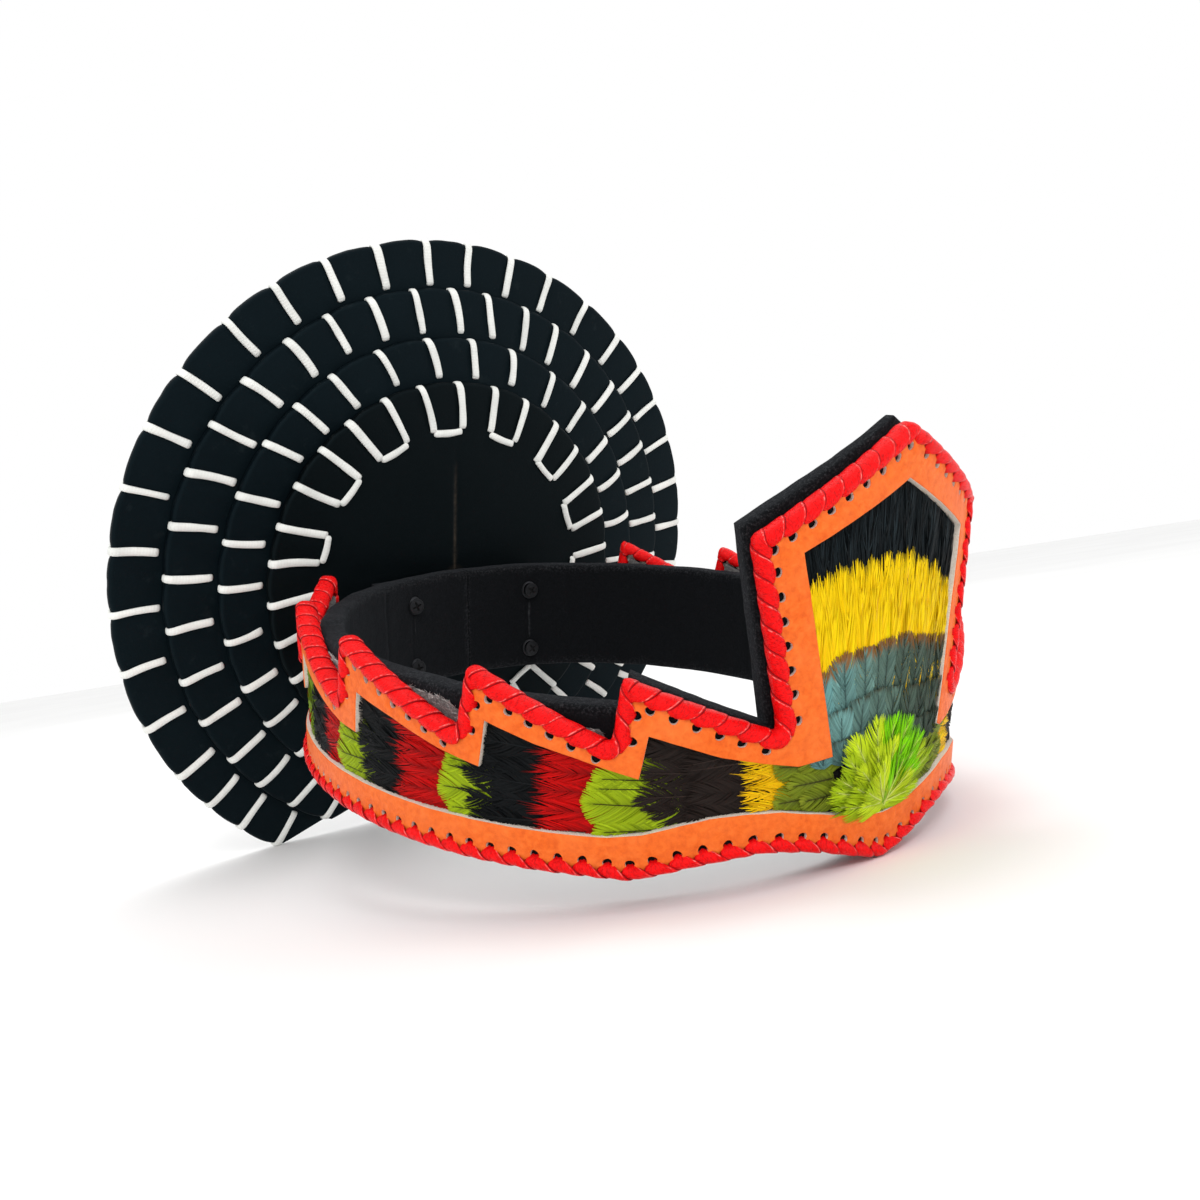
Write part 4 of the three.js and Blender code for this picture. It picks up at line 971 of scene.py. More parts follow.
def in_field(s, z):
    i = np.clip(np.round((s - _FLO[0]) / 0.2).astype(int), 0, _NS - 1); j = np.clip(np.round((z - _FLO[1]) / 0.2).astype(int), 0, _NZ - 1)
    ok = (s > _FLO[0]) & (s < _FHI[0]) & (z > _FLO[1]) & (z < _FHI[1])
    return MASK[i, j] & ok


class Plumes:
    """feathers gathered in one mesh: every barb is a thin curved strip"""

    def __init__(self, seed):
        self.v, self.c, self.a, self.f, self.n, self.k = [], [], [], [], 0, 0
        # painted_shading: colour factors for the darkened and the lightened side of every barb
        self.r = np.random.default_rng(seed); self.painted_shading = (0.80, 1.06); self.vary = 0.13

    def strips(self, S, Z, L, w, tilt, col, u0=0.0):
        """S, Z, L: (m, p) centre lines; w: (m, p) widths; col: (m, p, 3)"""
        m, p = S.shape
        ds, dz = np.gradient(S, axis=1), np.gradient(Z, axis=1); h = np.hypot(ds, dz) + 1e-9
        ns, nz = -dz / h, ds / h
        tl = np.asarray(tilt).reshape(-1, 1)
        A = np.stack([S + ns * w / 2, Z + nz * w / 2, L + tl * w], -1); B = np.stack([S - ns * w / 2, Z - nz * w / 2, L - tl * w], -1)
        V = np.stack([A, B], 2)                        # m, p, 2, 3
        base = self.n + np.arange(m)[:, None] * (p * 2) + np.arange(p - 1)[None] * 2
        self.f.append(np.stack([base, base + 1, base + 3, base + 2], -1).reshape(-1, 4)[:, ::-1])
        self.v.append(V.reshape(-1, 3)); self.n += m * p * 2
        c = np.repeat(np.concatenate([np.clip(col, 0, 1), np.ones((m, p, 1))], -1)[:, :, None, :], 2, 2)
        # painted light and shade: one side of each barb strip is darkened, the other lightened
        c[:, :, 0, :3] *= self.painted_shading[0]; c[:, :, 1, :3] *= self.painted_shading[1]
        self.c.append(np.clip(c, 0, 1).reshape(-1, 4))
        q = np.linspace(0, 1, p)
        uu = np.broadcast_to(q[None, :, None], (m, p, 2)); vv = np.broadcast_to(np.array([0, 1.0])[None, None], (m, p, 2)) * 0.3 + (np.arange(m)[:, None, None] * 0.371)
        kk = np.full((m, p, 2), self.k * 0.731)
        self.a.append(np.stack([uu, vv, kk], -1).reshape(-1, 3)); self.k += 1

    def feather(self, s0, z0, ang, L, W, col, l0=11.3, l1=12.2, fringe=0.25, beta=32, gap=0.34, clump=7, camber=0.45, tip=None, tip_at=0.75, base=None, shaft=None, width=1.35, tipw=0.55,
                clip=True, rise=0.0, loose=0.5, square=2.3, pts=5, bow=0.0, split=0.0):
        r = self.r; a = ang * D2R; b = beta * D2R
        th = np.linspace(0, math.pi / 2, 60)
        Lb = 0.45 * L
        ou = Lb + (L - Lb) * np.sin(th) ** (2 / square); ov = W / 2 * np.cos(th) ** (2 / square)
        ou = np.concatenate([[0.02 * L, 0.2 * L], ou]); ov = np.concatenate([[W / 2 * 0.55, W / 2 * 0.9], ov])
        d = np.concatenate([[0], np.cumsum(np.hypot(np.diff(ou), np.diff(ov)))]); n = max(6, int(d[-1] / gap))
        for side in (1, -1):
            q = (np.arange(n) + r.uniform(0.2, 0.8, n)) * d[-1] / n
            uo, vo = np.interp(q, d, ou), np.interp(q, d, ov)
            cl = np.floor(np.arange(n) / clump + r.uniform()).astype(int)
            cn = r.normal(0, 1, cl.max() + 2)[cl]
            phase = (np.arange(n) / clump + r.uniform()) % 1.0 - 0.5
            ub = np.maximum(uo - vo / math.tan(b) - r.uniform(1.2, 2.2), -0.6 + r.uniform(-0.5, 0.5, n))
            uo = uo + fringe * (0.55 * cn + r.normal(0, loose, n)) - abs(phase) * fringe * 0.9
            vo = vo + 0.25 * fringe * r.normal(0, 1, n) - split * phase * clump * gap * 0.5
            t = np.linspace(0, 1, 17)[None]
            cu, cv = (ub + 0.42 * (uo - ub))[:, None], (0.66 * vo)[:, None]
            U = (1 - t) ** 2 * ub[:, None] + 2 * t * (1 - t) * cu + t * t * uo[:, None]
            Vv = side * (2 * t * (1 - t) * cv + t * t * vo[:, None])
            Vb = Vv + bow * (U / L) ** 2 * L
            S = s0 + U * math.cos(a) - Vb * math.sin(a); Z = z0 + U * math.sin(a) + Vb * math.cos(a)
            if clip:
                ok = in_field(S, Z)
                first = np.argmax(ok, 1); run = np.cumsum(np.where(np.arange(17)[None] < first[:, None], 0, ~ok), 1) == 0
                run &= np.arange(17)[None] >= first[:, None]
                cnt = (run & ok).sum(1); keep = (cnt >= 3) & ok.any(1)
                ta, tb = first / 16, (first + np.maximum(cnt, 2) - 1) / 16
            else:
                keep = np.ones(n, bool); ta, tb = np.zeros(n), np.ones(n)
            if not keep.any():
                continue
            ta, tb, ub2, uo2, vo2, cu2, cv2 = (x[keep] for x in (ta, tb, ub, uo, vo, cu[:, 0], cv[:, 0]))
            m = keep.sum()
            t = ta[:, None] + (tb - ta)[:, None] * np.linspace(0, 1, pts)[None]
            U = (1 - t) ** 2 * ub2[:, None] + 2 * t * (1 - t) * cu2[:, None] + t * t * uo2[:, None]
            Vv = side * (2 * t * (1 - t) * cv2[:, None] + t * t * vo2[:, None]); Vb = Vv + bow * (U / L) ** 2 * L
            S = s0 + U * math.cos(a) - Vb * math.sin(a); Z = z0 + U * math.sin(a) + Vb * math.cos(a)
            lay = l0 + (l1 - l0) * np.clip(U / L, -0.1, 1.1) - camber * (2 * Vv / W) ** 2 + 0.05 * r.normal(0, 1, (m, 1)) + rise * np.clip(U / L, 0, 1) ** 2
            lay = lay + 0.10 * np.sin(np.clip(t, 0, 1) * math.pi) * 1.0
            wv = gap * width * (1 - (1 - tipw) * t ** 2)
            wv = np.where(t > 0.93, wv * 0.55, wv)
            tint = (1 + self.vary * r.normal(0, 1, (m, 1, 1)) + 0.07 * cn[keep][:, None, None])
            C = np.broadcast_to(np.asarray(col)[None, None], (m, pts, 3)) * np.clip(tint, 0.55, 1.5)
            if tip is not None:
                f = np.clip((U / L - tip_at + 0.05 * r.normal(0, 1, (m, 1))) / 0.10, 0, 1)[..., None]; C = C * (1 - f) + np.asarray(tip) * f
            # base: colour blended in towards the barb roots. Where it is a darker copy of the feather's colour it is
            # painted shade where the feathers overlap; the tuft's pale roots and the yellow's orange roots are their
            # own colour.
            if base is not None:
                f = np.clip(0.5 - t * 1.3, 0, 0.6)[..., None]; C = C * (1 - f) + np.asarray(base) * f
            self.strips(S, Z, lay, wv, r.normal(0, 0.16, m), C)
        if shaft is not None:
            u = np.linspace(-0.05 * L, 0.86 * L, 14); vb = bow * (u / L) ** 2 * L
            S = s0 + u * math.cos(a) - vb * math.sin(a); Z = z0 + u * math.sin(a) + vb * math.cos(a)
            ok = in_field(S, Z) if clip else np.ones(14, bool)
            i = np.flatnonzero(ok)
            if len(i) > 3:
                S, Z, u = S[i], Z[i], u[i]
                lay = l0 + (l1 - l0) * u / L + 0.17 + rise * np.clip(u / L, 0, 1) ** 2
                self.strips(S[None], Z[None], lay[None], (0.42 * (1 - 0.7 * np.clip(u / L, 0, 1)))[None], [0.0], np.broadcast_to(np.asarray(shaft), (1, len(i), 3)))

    def make(self, name, mat):
        V = np.concatenate(self.v)
        return make(name, world(bend(V[:, 0], V[:, 1], V[:, 2])), np.concatenate(self.f), [mat], attrs={'col': np.concatenate(self.c), 'fuv': np.concatenate(self.a)})


OLIVE, YELLOW, BROWN, LIME = lin(118, 134, 30), lin(255, 196, 6), lin(38, 30, 27), lin(158, 184, 24)
RED, BLACK, GREEN, TEAL = lin(200, 8, 8), lin(14, 17, 19), lin(120, 152, 20), lin(84, 124, 120)

# side groups from the front backwards, as (tip arc, colour, kind)
SIDE = [(34.7, OLIVE, 'round'), (42.7, YELLOW, 'fringe'), (67.0, BROWN, 'ragged'), (82.0, LIME, 'big'), (94.5, RED, 'fringe'), (115.0, BLACK, 'ragged'), (122.5, LIME, 'big'), (138.5, RED, 'fringe'),
        (155.0, BLACK, 'ragged'), (169.0, LIME, 'big'), (179.0, RED, 'fringe'), (194.0, BLACK, 'ragged'), (206.0, GREEN, 'big'), (216.0, RED, 'fringe'), (235.0, BLACK, 'ragged'),
        (245.0, GREEN, 'big'), (254.5, RED, 'fringe'), (262.0, BLACK, 'ragged')]
LOW_L, WIN_L = LOW_P[LOW_P[:, 0] >= 0], WIN_P[WIN_P[:, 0] >= 20]


def span(s):
    """lowest and highest height of the feather field at that arc"""
    s = min(abs(s), 260.0)
    return float(np.interp(s, LOW_L[:, 0], LOW_L[:, 1])), float(np.interp(s, WIN_L[3:, 0] if s > 30 else WIN_L[:, 0], WIN_L[3:, 1] if s > 30 else WIN_L[:, 1]))


def side_group(P, sgn, tip, prev, col, kind):
    r = P.r
    zl, zh = span((tip + prev) / 2)
    if kind == 'round':
        zh = min(zh, -12.5)
    hgt = zh - zl; mid = (zh + zl) / 2; ang0 = 0.0 if sgn > 0 else 180.0
    vis = tip - prev; L = vis + 9.0
    up = lambda dz: ang0 + sgn * dz
    put = lambda t_, z_, L_, W_, a_, **kw: P.feather(sgn * (t_ - L_), z_, up(a_), L_, W_, col, **kw)
    # the darker root colours given below (the fringes' dark red, col * 0.5, col * 0.45, the round group's dull olive)
    # are painted shade at the feather roots
    if kind == 'fringe':
        red = col is RED
        base = lin(70, 6, 8) if red else lin(255, 196, 30)
        for k, zz in enumerate(np.linspace(zl + 1.0, zh - 1.0, max(4, int(hgt / 3.6)))):
            put(tip + r.normal(0, 0.5), zz, L + r.normal(0, 0.4), 7.4 + r.normal(0, .4), (zz - mid) * 0.35 + r.normal(0, 2.2), fringe=1.5 if red else 1.0, loose=1.0, beta=20, gap=0.30, clump=4, l0=11.15, l1=12.05 + 0.25 * r.uniform(),
                tipw=0.16, width=1.3, base=base, tip=(lin(96, 8, 8) if red else None), tip_at=0.9, square=3.2, camber=0.25, split=0.5)
    elif kind == 'ragged':
        for k, zz in enumerate(np.linspace(zl + 1.5, zh - 1.5, max(4, int(hgt / 3.9)))):
            for m_ in ((0, 0.0), (1, 0.42)) if vis > 13 else ((0, 0.0),):
                put(tip - m_[1] * vis + r.normal(0, 1.1), zz + r.normal(0, 0.8), min(L, 19) + r.normal(0, 0.8), 10.5 + r.normal(0, 1), (zz - mid) * 0.5 + r.normal(0, 5), pts=4, fringe=0.95, loose=0.6, beta=30, gap=0.33, clump=6,
                    l0=11.2 + 0.12 * m_[0], l1=12.0 + 0.35 * r.uniform() + 0.12 * m_[0], tipw=0.4, base=col * 0.5, shaft=col * 1.9 if r.uniform() < 0.55 else None, camber=0.4, split=0.4)
    elif kind == 'big':
        for dz, W_, dt, lift in ((-0.36 * hgt, 0.62 * hgt, -3.0, 0), (0.34 * hgt, 0.66 * hgt, -2.6, 0), (0.22 * hgt, 0.5 * hgt, -1.6, 0.08), (-0.04 * hgt, 0.92 * hgt, 0, 0.22)):
            put(tip + dt, mid + dz, L + dt, max(W_, 9.5), dz * 0.5 + r.normal(0, 2), fringe=0.32, loose=0.5, beta=36, gap=0.34, clump=9, l0=11.25 + lift, l1=12.1 + lift, tipw=0.6, base=col * 0.45,
                tip=col * np.array([1.15, 1.12, 0.9]), tip_at=0.8, shaft=lin(50, 52, 18), camber=0.6, square=2.2, split=0.15)
    else:
        for dz, W_, dt, lift in ((0.30 * hgt, 9.5, 0.0, 0.1), (-0.30 * hgt, 10.5, -0.3, 0.0), (0.0, 9.0, -4.0, 0.25), (0.34 * hgt, 8, -6.5, 0.3), (-0.3 * hgt, 9, -7.5, 0.35)):
            put(tip + dt, mid + dz, 13.0, W_, dz * 0.3 + r.normal(0, 3), fringe=0.35, loose=0.4, beta=40, gap=0.34, clump=8, l0=11.5 + lift, l1=12.25 + lift, tipw=0.6, base=lin(84, 92, 44), shaft=lin(64, 64, 26), camber=0.5, square=2.1,
                tip=lin(140, 152, 40), tip_at=0.85)


for sgn, tag, seed in ((-1, 'right', 101), (1, 'left', 202)):
    P = Plumes(seed)
    edges_ = [24.0] + [g[0] for g in SIDE]
    for (tip_, col_, kind_), prev_ in reversed(list(zip(SIDE, edges_))):
        side_group(P, sgn, tip_, prev_, col_, kind_)
    piece(P.make('feathers_' + tag, FEATHER), 'feathers')

# the crest: long black hair-like feathers, a yellow band, two rows of blue-green ones
P = Plumes(303); r = P.r
for row, (tipz, n_) in enumerate(((57.0, 15), (50.0, 14), (44.0, 14), (39.0, 13))):
    for k in range(n_):
        s_ = -29 + 62 * (k + 0.5) / n_ + r.normal(0, 1.0)
        L_ = 30 + r.normal(0, 1.5)
        # base=lin(9, 11, 13): painted shade at the feather roots
        P.feather(s_, tipz - L_ + r.normal(0, 1.4), 90 - (s_ - 2) * 0.25 + r.normal(0, 4), L_, 7.5, lin(15, 21, 24), pts=4, l0=10.9, l1=11.3 + 0.25 * row, fringe=2.6, loose=1.2, beta=11, gap=0.33, clump=3, tipw=0.2, width=1.15,
                  camber=0.2, square=3.0, split=0.8, base=lin(9, 11, 13), tip=lin(34, 45, 50), tip_at=0.88)
P.painted_shading, P.vary = (0.95, 1.10), 0.06
for row, (dz_, n_) in enumerate(((0.0, 15), (-2.6, 14), (-6.5, 14), (-11.0, 13))):
    for k in range(n_):
        s_ = -28.5 + 59 * (k + 0.5) / n_ + r.normal(0, 0.5)
        top_ = np.interp(s_, [-28, -22, -17, -11, -4, 4, 14, 22, 29], [30.4, 31.6, 33.3, 34.5, 35.8, 35.4, 33.0, 28.6, 24.5]) + dz_ + r.normal(0, 0.35)
        L_ = 30 + r.normal(0, 1)
        P.feather(s_, top_ - L_, 90 - (s_ - 2) * 0.35 + r.normal(0, 2.0), L_, 7.4, YELLOW * (1.12 + 0.05 * r.normal()), l0=11.5, l1=12.1 + 0.12 * row, pts=4, fringe=0.95, loose=0.6, beta=9, gap=0.26, clump=5, tipw=0.22, width=1.9, camber=0.2, square=3.0,
                  split=0.3, base=lin(255, 184, 0) * 1.1, tip=lin(255, 202, 6) * 1.12, tip_at=0.7, shaft=lin(255, 200, 60) if r.uniform() < 0.25 else None)


P.painted_shading, P.vary = (0.80, 1.06), 0.11


def teal_row(tops, count, dark, lift, L_, W_=9.0):
    for k in range(count):
        s_ = -23.5 + 52 * (k + 0.5) / count + r.normal(0, 0.3)
        if s_ < -11 and tops[1][0] < -15:
            continue
        top_ = np.interp(s_, *tops) + r.normal(0, 0.35)
        Lr = min(L_, top_ + 15.0) if abs(s_) > 11 else L_
        if Lr < 3.0:
            continue
        # painted shade: the teal feathers and their brown tips are dimmed towards positive arc, from 1.15 to 0.30 of
        # their colour; base=c_ * 0.5 is painted shade at the roots
        painted_shading = np.interp(s_, [-22, -8, 4, 24], [1.15, 1.0, 0.62, 0.30]); hue = np.interp(s_, [-22, -6, 6, 24], [0.0, 0.45, 0.7, 0.8])
        c_ = ((1 - hue) * lin(88, 132, 132) + hue * lin(106, 122, 100)) * painted_shading * 1.3 * (1 + 0.16 * r.normal()) * (0.82 if dark else 1.0)
        c_ = np.clip(c_, 0.004, 1)
        P.feather(s_, top_ - Lr, 90 - (s_ - 2) * 0.45 + r.normal(0, 1.6), Lr, W_, c_, l0=11.9 + lift, l1=12.45 + lift + 0.16 * (k % 2), fringe=0.5 if not dark else 0.22, loose=0.35, beta=34, gap=0.30, clump=8, tipw=0.75, width=1.5, camber=0.5, square=4.6,
                  tip=(lin(150, 104, 58) if not dark else lin(74, 74, 54)) * np.interp(s_, [-22, 24], [1.0, 0.6]), tip_at=0.79 if not dark else 0.91, shaft=c_ * 0.4, base=c_ * 0.5, split=0.1)


teal_row(([-24, -18, -14, -9, -2, 3, 10, 24], [6.6, 8.6, 11.2, 12.7, 13.5, 14.0, 13.7, 9.8]), 9, False, -0.25, 17.0, 11.0)
teal_row(([-24, -18, -14, -9, -2, 3, 10, 24], [7.6, 9.6, 12.2, 13.7, 14.5, 15.0, 14.7, 10.8]), 8, False, 0.0, 15.0, 9.4)
teal_row(([-24, -19, -15, -9, -2, 11, 24], [-6.0, -3.4, -1.6, 0.9, 1.9, 0.9, -0.4]), 9, True, 0.35, 11.5, 9.6)
teal_row(([-24, -19, -15, -9, -2, 11, 24], [-13.0, -11.4, -9.6, -7.6, -6.9, -7.9, -9.4]), 9, True, 0.5, 9.5, 9.6)
teal_row(([-24, -19, -15, -9, -2, 11, 24], [-16.5, -16.0, -15.0, -14.0, -14, -14, -15]), 8, True, 0.2, 9.0, 9.6)
piece(P.make('feathers_crest', FEATHER), 'feathers')

# the tuft: short bright plumes that fan out from one point
P = Plumes(404); r = P.r
TUFT = [  # angle, length, width, colour shade, layer
    (172, 18.0, 8.0, 0, 0.2), (160, 20.0, 8.0, 1, 0.3), (148, 20.5, 8.0, 0, 0.2), (133, 22.0, 8.5, 1, 0.4), (118, 24.0, 8.5, 2, 0.3), (101, 25.5, 9.0, 2, 0.5), (84, 24.5, 10.0, 3, 0.5), (67, 24.0, 10.0, 3, 0.4), (50, 22.5, 8.5, 3, 0.3), (36, 22.0, 8.0, 1, 0.2),
    (24, 24.0, 7.5, 0, 0.1),
    (172, 15.5, 9.0, 1, 1.0), (152, 15.0, 8.5, 1, 1.2), (130, 16.0, 8.0, 2, 1.2), (110, 18.5, 8.0, 2, 1.4), (92, 19.0, 8.0, 2, 1.6), (74, 19.0, 9.0, 3, 1.6), (56, 18.0, 9.0, 3, 1.4), (38, 15.5, 8.5, 3, 1.1), (20, 13.5, 7.0, 1, 0.9),
    (172, 11.0, 8.5, 2, 1.9), (156, 10.5, 8.0, 1, 2.2), (122, 12.5, 7.5, 2, 2.4), (98, 14.0, 7.0, 2, 2.6), (72, 14.5, 8.5, 3, 2.6), (46, 12.0, 8.0, 2, 2.2), (12, 9.5, 6.5, 1, 1.6)]
SHADES = [lin(146, 176, 20), lin(174, 204, 26), lin(202, 228, 36), lin(132, 218, 8)]
for a_, L_, W_, sh, up_ in TUFT:
    c_ = SHADES[sh] * (1 + 0.08 * r.normal())
    P.feather(0.0 + r.normal(0, 0.4), -28.4 + r.normal(0, 0.3), a_ + r.normal(0, 2), L_ * 0.98, W_ * 1.06, c_, l0=12.4 + 0.25 * up_, l1=12.9 + up_, fringe=0.75, loose=0.6, beta=27, gap=0.25, clump=7, tipw=0.35, width=1.5, camber=0.9, square=2.6, split=0.4,
              base=lin(196, 214, 90), tip=c_ * 1.08, tip_at=0.8, shaft=lin(216, 230, 120), clip=False, rise=0.4 + 0.5 * r.uniform(), bow=0.05 * r.normal(), pts=6)
piece(P.make('front_tuft_plumes', DOWN), 'tuft_feathers', 'front_tuft')

# a backing sheet under the feathers, coloured near-black as painted shade in the gaps between them
BACKING_SHADE = Mat('feather_backing_shade'); _co = BACKING_SHADE.attr('band')
_n = BACKING_SHADE.noise(_co, 16, 5, 0.7, 0.6)
BACKING_SHADE.set(color=BACKING_SHADE.ramp(_n, [(0.3, (0.006, 0.006, 0.006)), (0.7, (0.026, 0.022, 0.018))]), rough=0.95, normal=BACKING_SHADE.bump(_n, 0.8, 0.0008), spec=0.15)
bed = slab('feather_backing_shade', ring(clip_ends(shift_in(WIN_P, -0.6), 0.6), clip_ends(LOW_P - [0, 0.6], 0.6)), [(0.1, 11.0), (0.0, 10.9), (0.0, 10.75), (0.1, 10.7)], [BACKING_SHADE.m], step=3, grid=4, face_mats=(0, 0, 0), seed=61,
           swell=lambda V: np.column_stack([V[:, :2], np.where(V[:, 2] > 10.95, V[:, 2] + 0.07 * vnoise(V[:, 0] / 2, V[:, 1] / 2, 62), V[:, 2])]))
piece(bed, 'feathers', 'feather_panel')

# ------------------------------------------------------------------ screws, wall marks and rear spacer
# painted shade: the cross recess in each screw head is coloured near-black
RECESS_SHADE = Mat('screw_recess'); _co = RECESS_SHADE.obj()
RECESS_SHADE.set(color=RECESS_SHADE.ramp(RECESS_SHADE.noise(_co, 800, 3, 0.6), [(0.3, (0.0015, 0.0015, 0.0018)), (0.7, (0.005, 0.005, 0.006))]), rough=0.7, metal=0.4)
NA, turn_of = 64, (0.35, 0.9, 0.15, 0.6)
for i, (z0, x0) in enumerate([(z, x) for z in SCREW_Z for x in (-SCREW_X, SCREW_X)]):
    ss = np.linspace(250, HALF_ARC, 1500); B0 = bend(ss, z0, 0.0); k = int(np.argmin(np.abs(B0[:, 0] - SCREW_X)))
    y0 = float(B0[k, 1]) - 1.1
    th = np.linspace(0, 2 * math.pi, NA, endpoint=False)
    rad = np.array([0.18, 0.36, 0.54, 0.72, 0.9, 1.08, 1.26, 1.44, 1.62, 1.8, 2.0, 2.25, 2.5, 2.7])
    rows = []
    for r_ in rad:
        a = np.abs(r_ * np.cos(th - turn_of[i])); b = np.abs(r_ * np.sin(th - turn_of[i]))
        arm = np.clip((0.50 - 0.10 * r_ - np.minimum(a, b)) / 0.10, 0, 1) * np.clip((1.85 - r_) / 0.15, 0, 1)
        ring_ = 0.22 * np.exp(-((r_ - 2.15) / 0.16) ** 2)
        rows.append((np.full(NA, r_), y0 - 1.0 - 0.25 * (1 - (r_ / 2.9) ** 2) + 0.85 * arm + ring_, arm))
    for r_, dy in ((2.88, -0.95), (2.98, -0.7), (2.95, -0.3), (2.7, 0.0), (1.42, 0.12), (1.4, 1.5), (1.4, FAN_FRONT + 3 * FAN_PITCH - 0.4 - y0)):
        rows.append((np.full(NA, r_), np.full(NA, y0 + dy), np.zeros(NA)))
    V = [[x0, y0 - 1.25 + 0.85, z0]]; arm_at = [1.0]
    for r_, y_, m_ in rows:
        V += np.stack([x0 + r_ * np.cos(th), y_, z0 + r_ * np.sin(th)], 1).tolist(); arm_at += m_.tolist()
    F = [[0, 1 + (j + 1) % NA, 1 + j] for j in range(NA)]
    for q in range(len(rows) - 1):
        for j in range(NA):
            a, b = 1 + q * NA + j, 1 + q * NA + (j + 1) % NA
            F.append([a, b, b + NA, a + NA])
    e = len(V); V.append([x0, rows[-1][1][0], z0]); arm_at.append(0); c = 1 + (len(rows) - 1) * NA
    F += [[e, c + j, c + (j + 1) % NA] for j in range(NA)]
    arm_at = np.array(arm_at); mi = [1 if arm_at[f].max() > 0.5 else 0 for f in F]
    piece(make('cross_screw_%d' % (i + 1), world(np.array(V)), F, [STEEL, RECESS_SHADE.m], mi), 'screw_steel', 'screw_%d' % (i + 1))
    # a cup washer sunk a little in the felt
    s0 = ss[k] * (1 if x0 > 0 else -1)
    prof = [(3.5, 0.25), (3.45, -0.30), (3.25, -0.62), (3.02, -0.80), (2.8, -0.62), (2.6, 0.1)]
    n = 40; W = []; a = np.linspace(0, 2 * math.pi, n, endpoint=False)
    for rr, dl in prof:
        W.append(np.stack([s0 + rr * np.cos(a), z0 + rr * np.sin(a), np.full(n, dl)], 1))
    W = np.concatenate(W); F = []
    for q in range(len(prof) - 1):
        for m in range(n):
            a0, b0 = q * n + m, q * n + (m + 1) % n
            F.append([a0, a0 + n, b0 + n, b0])
    piece(make('cup_washer_%d' % (i + 1), world(bend(W[:, 0], W[:, 1], W[:, 2])), F, [WASHER]), 'screw_steel')

# faint pale ridges the screws have pulled up in the felt
MARK = Mat('felt_ridge'); _co = MARK.obj(); _n = MARK.noise(_co, 700, 5, 0.7)
MARK.set(color=MARK.ramp(_n, [(0.35, (0.006, 0.007, 0.008)), (0.7, (0.034, 0.036, 0.040))]), rough=0.9, spec=0.1, normal=MARK.bump(_n, 0.6, 0.0003))
ss = np.linspace(250, HALF_ARC, 1500); s_r = float(ss[int(np.argmin(np.abs(bend(ss, -20.0, 0.0)[:, 0] - SCREW_X)))])
V, F = [], []
for s_c, za, zb, wide in ((s_r, -13.8, -29.6, 0.55), (-s_r, -14.4, -23.0, 0.35)):
    zz = np.linspace(za, zb, 40); b0 = len(V)
    for j, z_ in enumerate(zz):
        c = s_c + 0.18 * vnoise(z_ / 3.0, s_c, 71); w_ = wide * (1 + 0.3 * vnoise(z_ / 1.5, s_c, 72)) * min(1, j / 4, (39 - j) / 4)
        V += [[c - w_, z_, 0.15], [c, z_, -0.34], [c + w_, z_, 0.15]]
    for j in range(39):
        for m in (0, 1):
            a = b0 + 3 * j + m
            F.append([a, a + 3, a + 4, a + 1])
V = np.array(V)
piece(make('felt_ridges', world(bend(V[:, 0], V[:, 1], V[:, 2])), F, [MARK.m]), 'black_felt')

# felt block between the band and the fan
o = frame["nodes"]["rear_spacer"]
o.data.materials.clear(); o.data.materials.append(FELT)

# ------------------------------------------------------------------ camera, light and floor
def direction(v):
    """band-frame direction -> row frame"""
    v = Vector(v); c, s = math.cos(TILT * D2R), math.sin(TILT * D2R)
    return Vector((v.x, v.y * c - v.z * s, v.y * s + v.z * c))


CAM = Vector((-217.34, -279.10, 80.22))
fwd = (-CAM).normalized()
right = fwd.cross(Vector((0, 0, 1))).normalized(); up = right.cross(fwd)
roll = 0.4 * D2R
right, up = right * math.cos(roll) + up * math.sin(roll), up * math.cos(roll) - right * math.sin(roll)
X, Y, Z = direction(right), direction(up), direction(-fwd)
cam = bpy.data.objects.new('camera', bpy.data.cameras.new('camera'))
bpy.context.scene.collection.objects.link(cam)
pos = world(np.array(CAM))
cam.matrix_world = Matrix(((X.x, Y.x, Z.x, pos[0]), (X.y, Y.y, Z.y, pos[1]), (X.z, Y.z, Z.z, pos[2]), (0, 0, 0, 1)))
cam.data.sensor_width, cam.data.lens = 36.0, 33.668
cam.data.shift_x, cam.data.shift_y = -0.0159, 0.0127
cam.data.clip_start, cam.data.clip_end = 0.01, 60
bpy.context.scene.camera = cam

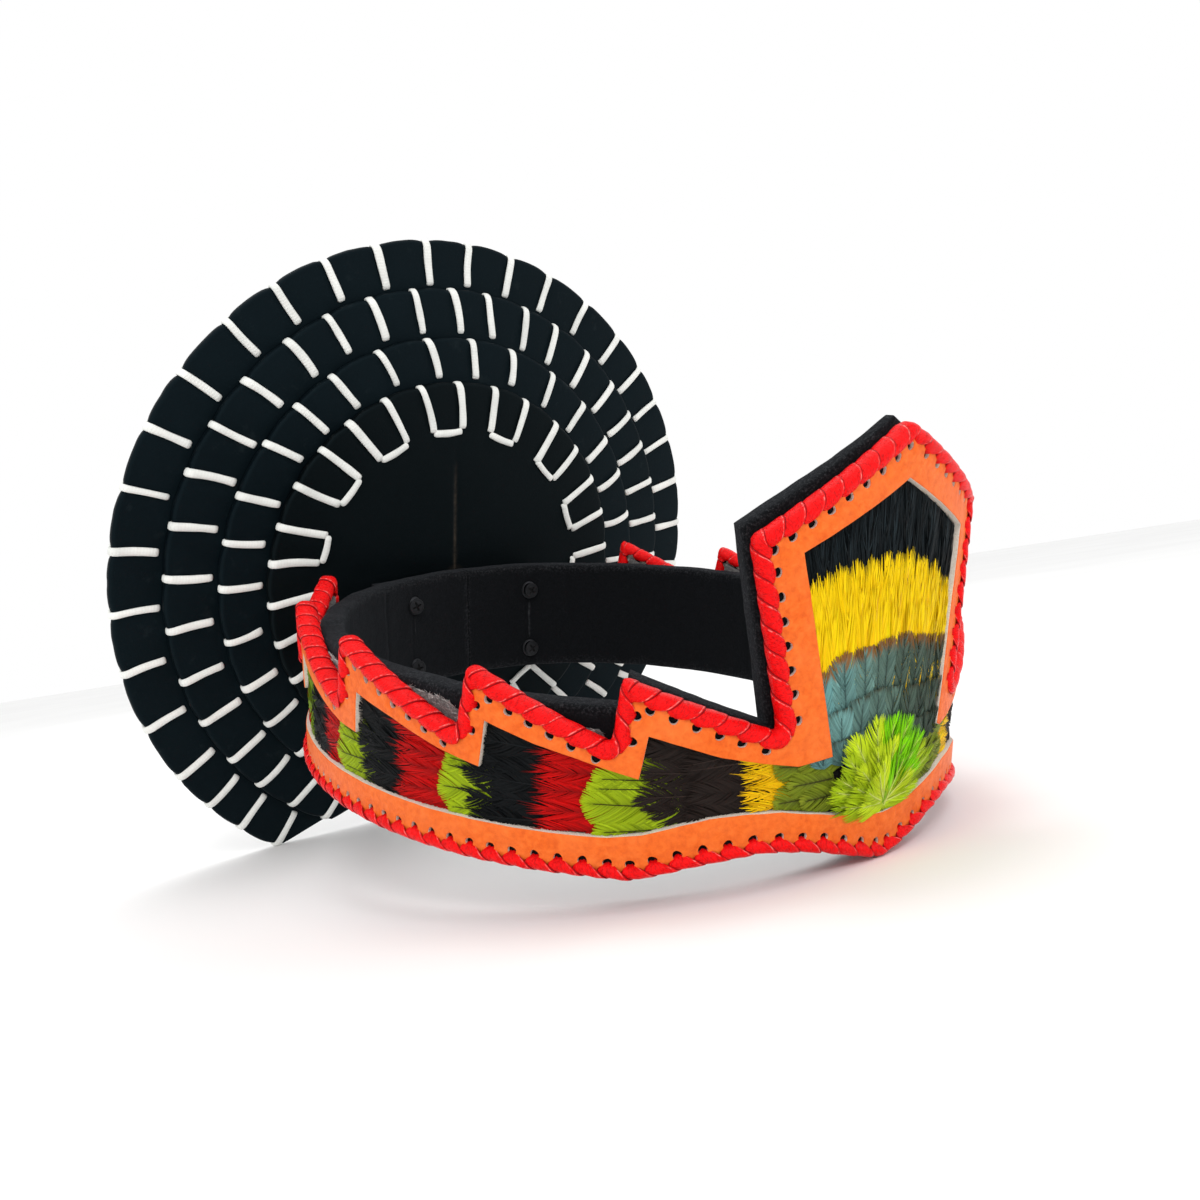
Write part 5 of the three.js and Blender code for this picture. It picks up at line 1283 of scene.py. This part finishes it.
# wide pale floor
prof = [(0.0, 0.0), (0.4, 0.0), (0.9, 0.0), (1.8, 0.0), (3.5, 0.0), (6.0, 0.0), (9.0, 0.0)]
n = 96; V = [[0, 0, 0]]; F = []
for r, z in prof[1:]:
    V += [[r * math.cos(2 * math.pi * i / n), r * math.sin(2 * math.pi * i / n), z - 0.0002] for i in range(n)]
for i in range(n):
    F.append([0, 1 + i, 1 + (i + 1) % n])
for j in range(len(prof) - 2):
    for i in range(n):
        a, b = 1 + j * n + i, 1 + j * n + (i + 1) % n
        F.append([a, a + n, b + n, b])
V[0][2] = -0.0002
M = Mat('studio_floor'); co = M.obj()
M.set(color=M.ramp(M.noise(co, 3.0, 3, 0.5), [(0.3, (0.90, 0.90, 0.896)), (0.7, (0.94, 0.94, 0.936))]), rough=0.85, spec=0.15)
make('studio_floor', V, F, [M.m])


def area_light(name, loc, target, size, power, color=(1, 1, 1)):
    l = bpy.data.lights.new(name, 'AREA'); l.shape = 'DISK'; l.size = size; l.energy = power; l.color = color
    o = bpy.data.objects.new(name, l); bpy.context.scene.collection.objects.link(o)
    o.location = loc
    o.rotation_euler = (Vector(target) - Vector(loc)).to_track_quat('-Z', 'Y').to_euler()
    return o


area_light('key', (-0.8, -1.2, 1.2), (0, 0, 0.1), 0.5, 7.0)
area_light('fill', (1.3, -0.9, 0.9), (0, 0, 0.08), 1.0, 1.5)
area_light('top', (0.0, 0.2, 1.7), (0, 0, 0.1), 0.8, 5.0)
area_light('back', (0.5, 1.5, 1.0), (0, 0, 0.1), 1.0, 1.5)
wd = bpy.data.worlds.new('studio'); bpy.context.scene.world = wd; wd.use_nodes = True
wd.node_tree.nodes['Background'].inputs[0].default_value = (1, 1, 1, 1)
wd.node_tree.nodes['Background'].inputs[1].default_value = 1.0
bpy.context.scene.view_settings.view_transform = 'Standard'
bpy.context.scene.view_settings.look = 'None'
bpy.context.scene.cycles.max_bounces = 6
bpy.context.scene.cycles.diffuse_bounces = 3
bpy.context.scene.cycles.glossy_bounces = 2
